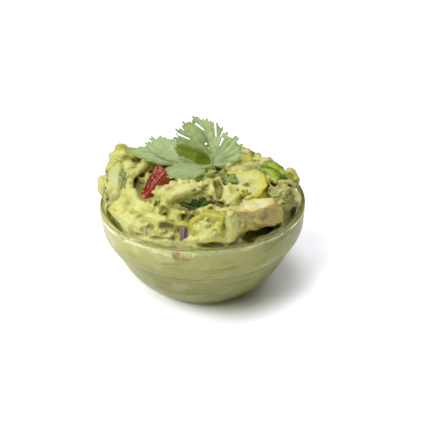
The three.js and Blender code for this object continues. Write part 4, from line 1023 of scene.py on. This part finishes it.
def sheetMesh(field, us, vs):  # flat mesh of the inside of a field: points (u, v) and quads
    inside = field < 0
    m, n = len(us) - 1, len(vs) - 1
    count, sums = np.zeros((m, n, 1)), np.zeros((m, n, 2))
    whole = inside[:-1, :-1] & inside[1:, :-1] & inside[:-1, 1:] & inside[1:, 1:]
    for i, j, di, dj in ((0, 0, 1, 0), (0, 1, 1, 0), (0, 0, 0, 1), (1, 0, 0, 1)):
        a, b = field[i:i + m, j:j + n], field[i + di:i + di + m, j + dj:j + dj + n]
        crossed = (a < 0) != (b < 0)
        t = np.where(crossed, a / np.where(crossed, a - b, 1), 0) * (us[1] - us[0])
        spots = np.meshgrid(us[i:i + m], vs[j:j + n], indexing="ij")
        count[..., 0] += crossed
        sums += crossed[..., None] * np.stack([spots[0] + t * di, spots[1] + t * dj], -1)
    middles = np.stack(np.meshgrid((us[:-1] + us[1:]) / 2, (vs[:-1] + vs[1:]) / 2, indexing="ij"), -1)
    cells = np.where(whole[..., None], middles, sums / np.maximum(count, 1)).reshape(-1, 2)
    number = np.arange(m * n).reshape(m, n)
    i, j = np.nonzero(inside[1:-1, 1:-1])
    return onlyUsed(cells, np.stack([number[i, j], number[i + 1, j], number[i + 1, j + 1], number[i, j + 1]], 1))


def fieldAt(field, us, vs, flat):
    x, y = (flat[:, 0] - us[0]) / (us[1] - us[0]), (flat[:, 1] - vs[0]) / (vs[1] - vs[0])
    i, j = np.clip(x.astype(int), 0, len(us) - 2), np.clip(y.astype(int), 0, len(vs) - 2)
    s, t = x - i, y - j
    low = field[i, j] * (1 - s) + field[i + 1, j] * s
    return low * (1 - t) + (field[i, j + 1] * (1 - s) + field[i + 1, j + 1] * s) * t


def onLeaf(leaf, flat, off):  # places points of the flat leaf in space, with its cup and ripples
    across, upward = Vector(leaf["across"]).normalized(), Vector(leaf["upward"])
    upward = (upward - across * upward.dot(across)).normalized()
    reach, turn = np.hypot(flat[:, 0], flat[:, 1]), np.arctan2(flat[:, 0], flat[:, 1])
    still = np.stack([flat[:, 0], flat[:, 1], np.zeros(len(flat))], 1)
    ripple = pointNoise(still, 6, leaf["seed"]) + 0.35 * np.sin(turn * 7)
    wave = leaf["cup"] * (reach / 18) ** 2 + leaf["ripple"] * share(reach / 15) * ripple
    middle = np.array(leaf["middle"]) + [0, 0, rim]
    return middle + flat[:, :1] * np.array(across) + flat[:, 1:] * np.array(upward) \
        + (wave + off)[:, None] * np.array(across.cross(upward))


def leafMesh(leaf, sheet):
    lobes = sheet["lobes"]
    ends = np.array([p for lobe in lobes for p in lobe[:2]])
    margin = max(lobe[2] for lobe in lobes)
    cell = leafSheet["cell"] * sheet.get("fine", 1)
    us, vs = (np.arange(ends[:, k].min() - margin, ends[:, k].max() + margin, cell) for k in (0, 1))
    u, v = np.meshgrid(us, vs, indexing="ij")
    field, veins, relief = None, 0, 0
    for lobe in lobes:
        f, vein, side = lobeField(lobe, u, v)
        veins = np.maximum(veins, vein * (f < 0))
        relief = np.maximum(relief, share(-f / 1.2) * (1 - np.exp(-(side / 0.45) ** 2)))
        field = f if field is None else smoothMin(field, f, leafSheet["web"])
    for (a, b), (c, d), wide in leaf.get("slits", []):
        t = share(((u - a) * (c - a) + (v - b) * (d - b)) / ((c - a) ** 2 + (d - b) ** 2))
        field = np.maximum(field, wide * (1 - 0.5 * t) - np.hypot(u - a - t * (c - a), v - b - t * (d - b)))
    flat, quads = sheetMesh(field, us, vs)
    depth, vein, bulge = (fieldAt(f, us, vs, flat) for f in (-field, veins, relief))
    body = share(depth / 0.9)
    half = leafSheet["thickness"] / 2 * (0.3 + 0.7 * body)
    curl = sheet["lift"] * share(np.linalg.norm(flat - lobes[0][0], axis=1) / 8)
    lie = curl + leafSheet["valley"] * (bulge - 0.5) - 0.12 * vein
    points = np.vstack([onLeaf(leaf, flat, lie - half), onLeaf(leaf, flat, lie + half)])
    n = len(flat)
    walls = [(b + n, a + n, a, b) for a, b in openEdges(quads, n)]
    faces = [tuple(q + n) for q in quads] + [tuple(q[::-1]) for q in quads] + walls
    values = {"vein": np.tile(vein, 2), "edge": np.tile(1 - body, 2), "tone": np.full(2 * n, sheet["tone"])}
    return points, outward(points, faces), values


def stalkMesh(leaf, sides=10):
    root = np.array([leaf["sheets"][0]["lobes"][0][0]])
    on = [onLeaf(leaf, p, np.zeros(1))[0] for p in (np.array([leaf["neck"]]), root, 0.6 * root)]
    path = curvePoints([np.array(p) + [0, 0, rim] for p in stalk["root"]] + on, 22)
    radii = stalk["radius"] + (stalk["thinnest"] - stalk["radius"]) * np.linspace(0, 1, len(path))
    points = [path[0]]
    for i, radius in enumerate(radii):
        ahead = Vector(path[min(i + 1, len(path) - 1)] - path[max(i - 1, 0)]).normalized()
        side = Vector((0, -1, 0.3)).cross(ahead).normalized()
        other = ahead.cross(side).normalized()
        turns = np.linspace(0, 2 * math.pi, sides, endpoint=False)
        points += [Vector(path[i]) + side * radius * math.cos(a) + other * radius * math.sin(a) for a in turns]
    points = np.array(points + [path[-1]])
    n = len(points)
    values = {"vein": np.full(n, 0.8), "edge": np.zeros(n), "tone": np.full(n, 0.2)}
    return points, outward(points, ringFaces(len(path), sides)), values


def joinMeshes(parts):
    faces, start = [], 0
    for p, f, v in parts:
        faces += [tuple(int(i) + start for i in face) for face in f]
        start += len(p)
    points = np.vstack([p for p, f, v in parts])
    return points, faces, {key: np.concatenate([v[key] for p, f, v in parts]) for key in parts[0][2]}


leafLooks = {  # the sprig, and the bits in the mash
    "leafGreen": {"blade": (232, 246, 196), "base": (192, 216, 146), "vein": (236, 244, 208), "shade": (160, 178, 60),
                  "patch": 130.0, "roughness": 0.45, "shine": 0.4, "glow": 0.45},
    "leafDark": {"blade": (74, 98, 22), "base": (34, 52, 8), "vein": (98, 124, 50), "shade": (30, 44, 14),
                 "patch": 200.0, "roughness": 0.4, "shine": 0.2, "glow": 0.15},
    "leafDull": {"blade": (160, 186, 84), "base": (70, 104, 30), "vein": (206, 214, 150), "shade": (60, 80, 40),
                 "patch": 380.0, "roughness": 0.45, "shine": 0.3, "glow": 0.2},
}
leafLayers = [
    (("m.Patches", 0.34, 0.66), 1, "blade"),
    (("edge", 0.0, 1.0), 1, "base"),
    ("vein", 0.55, "vein"),
    # painted shade: a sheet's tone brings in the shade colour
    ("tone", 1, "shade"),
]


def leafMaterial(name):
    values = leafLooks[name]
    look = {key: srgb(*value) for key, value in values.items() if isinstance(value, tuple)}
    look["shader"] = {"Roughness": values["roughness"], "Specular IOR Level": values["shine"]}
    look["bumps"] = [(("SUBTRACT", "m.Grain", "vein"), 0.4, 0.0003)]

    def lightThrough(tree, shader, settings):
        through = node(tree, "BsdfTranslucent", {"Color": settings["Base Color"], "Normal": settings["Normal"]})
        return node(tree, "MixShader", {0: values["glow"], 1: shader.outputs[0], 2: through.outputs[0]})

    return dress(name, look, {"m": (mottle, values["patch"], 1100.0, 3.3)}, leafLayers, lightThrough)


parts = []
for leaf in sprigLeaves.values():
    parts += [leafMesh(leaf, sheet) for sheet in leaf["sheets"]] + [stalkMesh(leaf)]
points, faces, values = joinMeshes(parts)
makePiece("corianderSprig", points, faces, leafMaterial("leafGreen"), "coriander_sprig", "coriander", values)

# torn bits lying in the mash
bits = {
    "coriander_bit_front": {"look": "leafDark", "slot": "coriander_dark", "middle": (-1.4, -31.2, 11.6), "across": (0.97, -0.2, 0.14),
        "upward": (0.2, 0.6, 0.77), "curl": 1.8, "seed": 61, "lobes": [
        ((0, 0), (-10.4, 3.4), 3, 3), ((1, 0), (-6.4, -2), 4.2, 3), ((0, 0), (-4.6, -6.6), 4.6, 4), ((1, -1), (0.6, -6), 5, 3),
        ((0, 0), (6.4, -2.4), 5.4, 4), ((0, 0), (7.6, 2.4), 4.8, 3), ((0, 0), (2.6, 5.6), 5.2, 4), ((-1, 0), (-3.4, 5), 4, 3)]},
    "coriander_bit_middle": {"look": "leafDull", "slot": "coriander_dark", "middle": (12.4, -12, 17.4), "across": (0.96, -0.26, -0.04),
        "upward": (0.14, 0.86, 0.5), "curl": 1.6, "seed": 62, "lobes": [
        ((0, 0), (-7.4, 1.2), 3.2, 3), ((0, 0), (-4, -3), 3.4, 3), ((0, 0), (1.2, -3.8), 3.8, 3), ((0, 0), (6.4, -1.4), 3.6, 4),
        ((0, 0), (4.4, 2.6), 3.6, 3), ((0, 0), (-1.6, 3), 3.6, 3)]},
    "coriander_bit_left": {"look": "leafDull", "slot": "coriander", "middle": (-39, -6.4, 16), "across": (0.2, -0.82, -0.5),
        "upward": (0.94, 0.1, 0.34), "curl": 1, "seed": 63, "lobes": [
        ((0, 0), (-6.2, 0.6), 2, 4), ((-2, 0), (-3.4, 2.2), 1.7, 3), ((1, 0), (3, 1.9), 1.8, 4), ((0, 0), (5.2, -0.4), 1.9, 3),
        ((2, 0), (1.8, -1.8), 1.6, 3), ((-2, 0), (-4, -1.7), 1.5, 3)]},
}
bitLooks = {name: leafMaterial(name) for name in ("leafDark", "leafDull")}
for name, bit in bits.items():
    leaf = {**bit, "cup": bit["curl"] * 4, "ripple": bit["curl"] * 0.9}
    points, faces, values = leafMesh(leaf, {"lift": 0.0, "tone": 0.0, "lobes": bit["lobes"], "fine": 0.8})
    makePiece(camel(name), points, faces, bitLooks[bit["look"]], name, bit["slot"], values)
print("pieces done")


# floor, light and camera
studio = {
    "floorHalf": 1.6, "floorSeen": (1.72, 1.72, 1.86), "floorReal": (1.0, 1.0, 1.0),
    "base": 0.02, "throughGlass": 1.0, "sharpness": 9,
    "softboxes": [  # azimuth from +X and height in degrees, strength
        (0, 90, 1.06), (180, 12, 0.12),
    ],
    "lampsLookAt": (0, 0, 0.04),
    "lamps": [  # place and size in metres, watts
        ((0.0, 0.05, 0.85), 0.3, 1.5), ((-0.62, 0.0, 0.5), 0.3, 1.8), ((-0.3, -0.35, 0.7), 0.3, 2.15), ((0.36, 0.22, 0.68), 0.28, 0.62),
    ],
}


def seenThrough(tree):  # 1 for what the eye sees straight through the glass
    path = node(tree, "LightPath")
    unbounced = calculate(tree, "LESS_THAN", path.outputs["Diffuse Depth"], 0.5)
    return calculate(tree, "MULTIPLY", path.outputs["Is Transmission Ray"], unbounced)


def buildWorld():
    world = bpy.data.worlds.new("studio")
    world.use_nodes = True
    tree = world.node_tree
    toward = node(tree, "TexCoord").outputs["Generated"]
    total, sharp = studio["base"], studio["sharpness"]
    for azimuth, height, strength in studio["softboxes"]:
        turn, rise = math.radians(azimuth), math.radians(height)
        middle = (math.cos(rise) * math.cos(turn), math.cos(rise) * math.sin(turn), math.sin(rise))
        facing = node(tree, "VectorMath", {0: toward, 1: middle}, operation="DOT_PRODUCT").outputs["Value"]
        glow = calculate(tree, "EXPONENT", calculate(tree, "MULTIPLY_ADD", facing, sharp, -sharp))
        total = calculate(tree, "MULTIPLY_ADD", glow, strength, total)
    seen = node(tree, "Mix", {0: seenThrough(tree), 2: total, 3: studio["throughGlass"]}, data_type="FLOAT").outputs[0]
    fill(tree, tree.nodes["Background"], {"Color": (1, 1, 1, 1), "Strength": seen})
    bpy.context.scene.world = world


def addObject(name, data):
    made = bpy.data.objects.new(name, data)
    bpy.context.scene.collection.objects.link(made)
    return made


def buildFloor():
    half = studio["floorHalf"]
    mesh = bpy.data.meshes.new("floor")
    mesh.from_pydata([(-half, -half, 0), (half, -half, 0), (half, half, 0), (-half, half, 0)], [], [(0, 1, 2, 3)])
    material, tree = newMaterial("paleFloor")
    plain, bright = (node(tree, "BsdfDiffuse", {"Color": (*studio[key], 1)}).outputs[0] for key in ("floorReal", "floorSeen"))
    direct = calculate(tree, "MAXIMUM", node(tree, "LightPath").outputs["Is Camera Ray"], seenThrough(tree))
    finishMaterial(tree, node(tree, "MixShader", {0: direct, 1: plain, 2: bright}))
    mesh.materials.append(material)
    addObject("floor", mesh)


def buildLamps():
    for number, (at, size, energy) in enumerate(studio["lamps"]):
        light = bpy.data.lights.new("lamp" + str(number + 1), "AREA")
        light.size, light.energy = size, energy
        lamp = addObject(light.name, light)
        lamp.location = at
        lamp.rotation_mode = "QUATERNION"
        lamp.rotation_quaternion = (Vector(studio["lampsLookAt"]) - Vector(at)).to_track_quat("-Z", "Y")


view = {"elevation": 29.3, "distance": 0.6, "roll": 1.9, "pixelsPerMetre": 1956.0, "frame": 424.0, "rimPixel": (202.3, 198.1)}


def buildCamera():
    e, roll = math.radians(view["elevation"]), math.radians(view["roll"])
    back = Vector((0, -math.cos(e), math.sin(e)))
    right, up = Vector((1, 0, 0)), Vector((0, math.sin(e), math.cos(e)))
    axes = (right * math.cos(roll) - up * math.sin(roll), right * math.sin(roll) + up * math.cos(roll), back)
    camera = bpy.data.cameras.new("camera")
    camera.sensor_width = 36
    camera.lens = camera.sensor_width * view["distance"] * view["pixelsPerMetre"] / view["frame"]
    camera.shift_x = 0.5 - view["rimPixel"][0] / view["frame"]
    camera.shift_y = view["rimPixel"][1] / view["frame"] - 0.5
    camera.clip_start = 0.01
    eye = addObject("camera", camera)
    place = Vector((0, 0, rim * mm)) + back * view["distance"]
    eye.matrix_world = Matrix.Translation(place) @ Matrix(axes).transposed().to_4x4()
    bpy.context.scene.camera = eye


buildWorld()
buildFloor()
buildLamps()
buildCamera()
bpy.context.scene.view_settings.view_transform = "Standard"
print("studio ready")
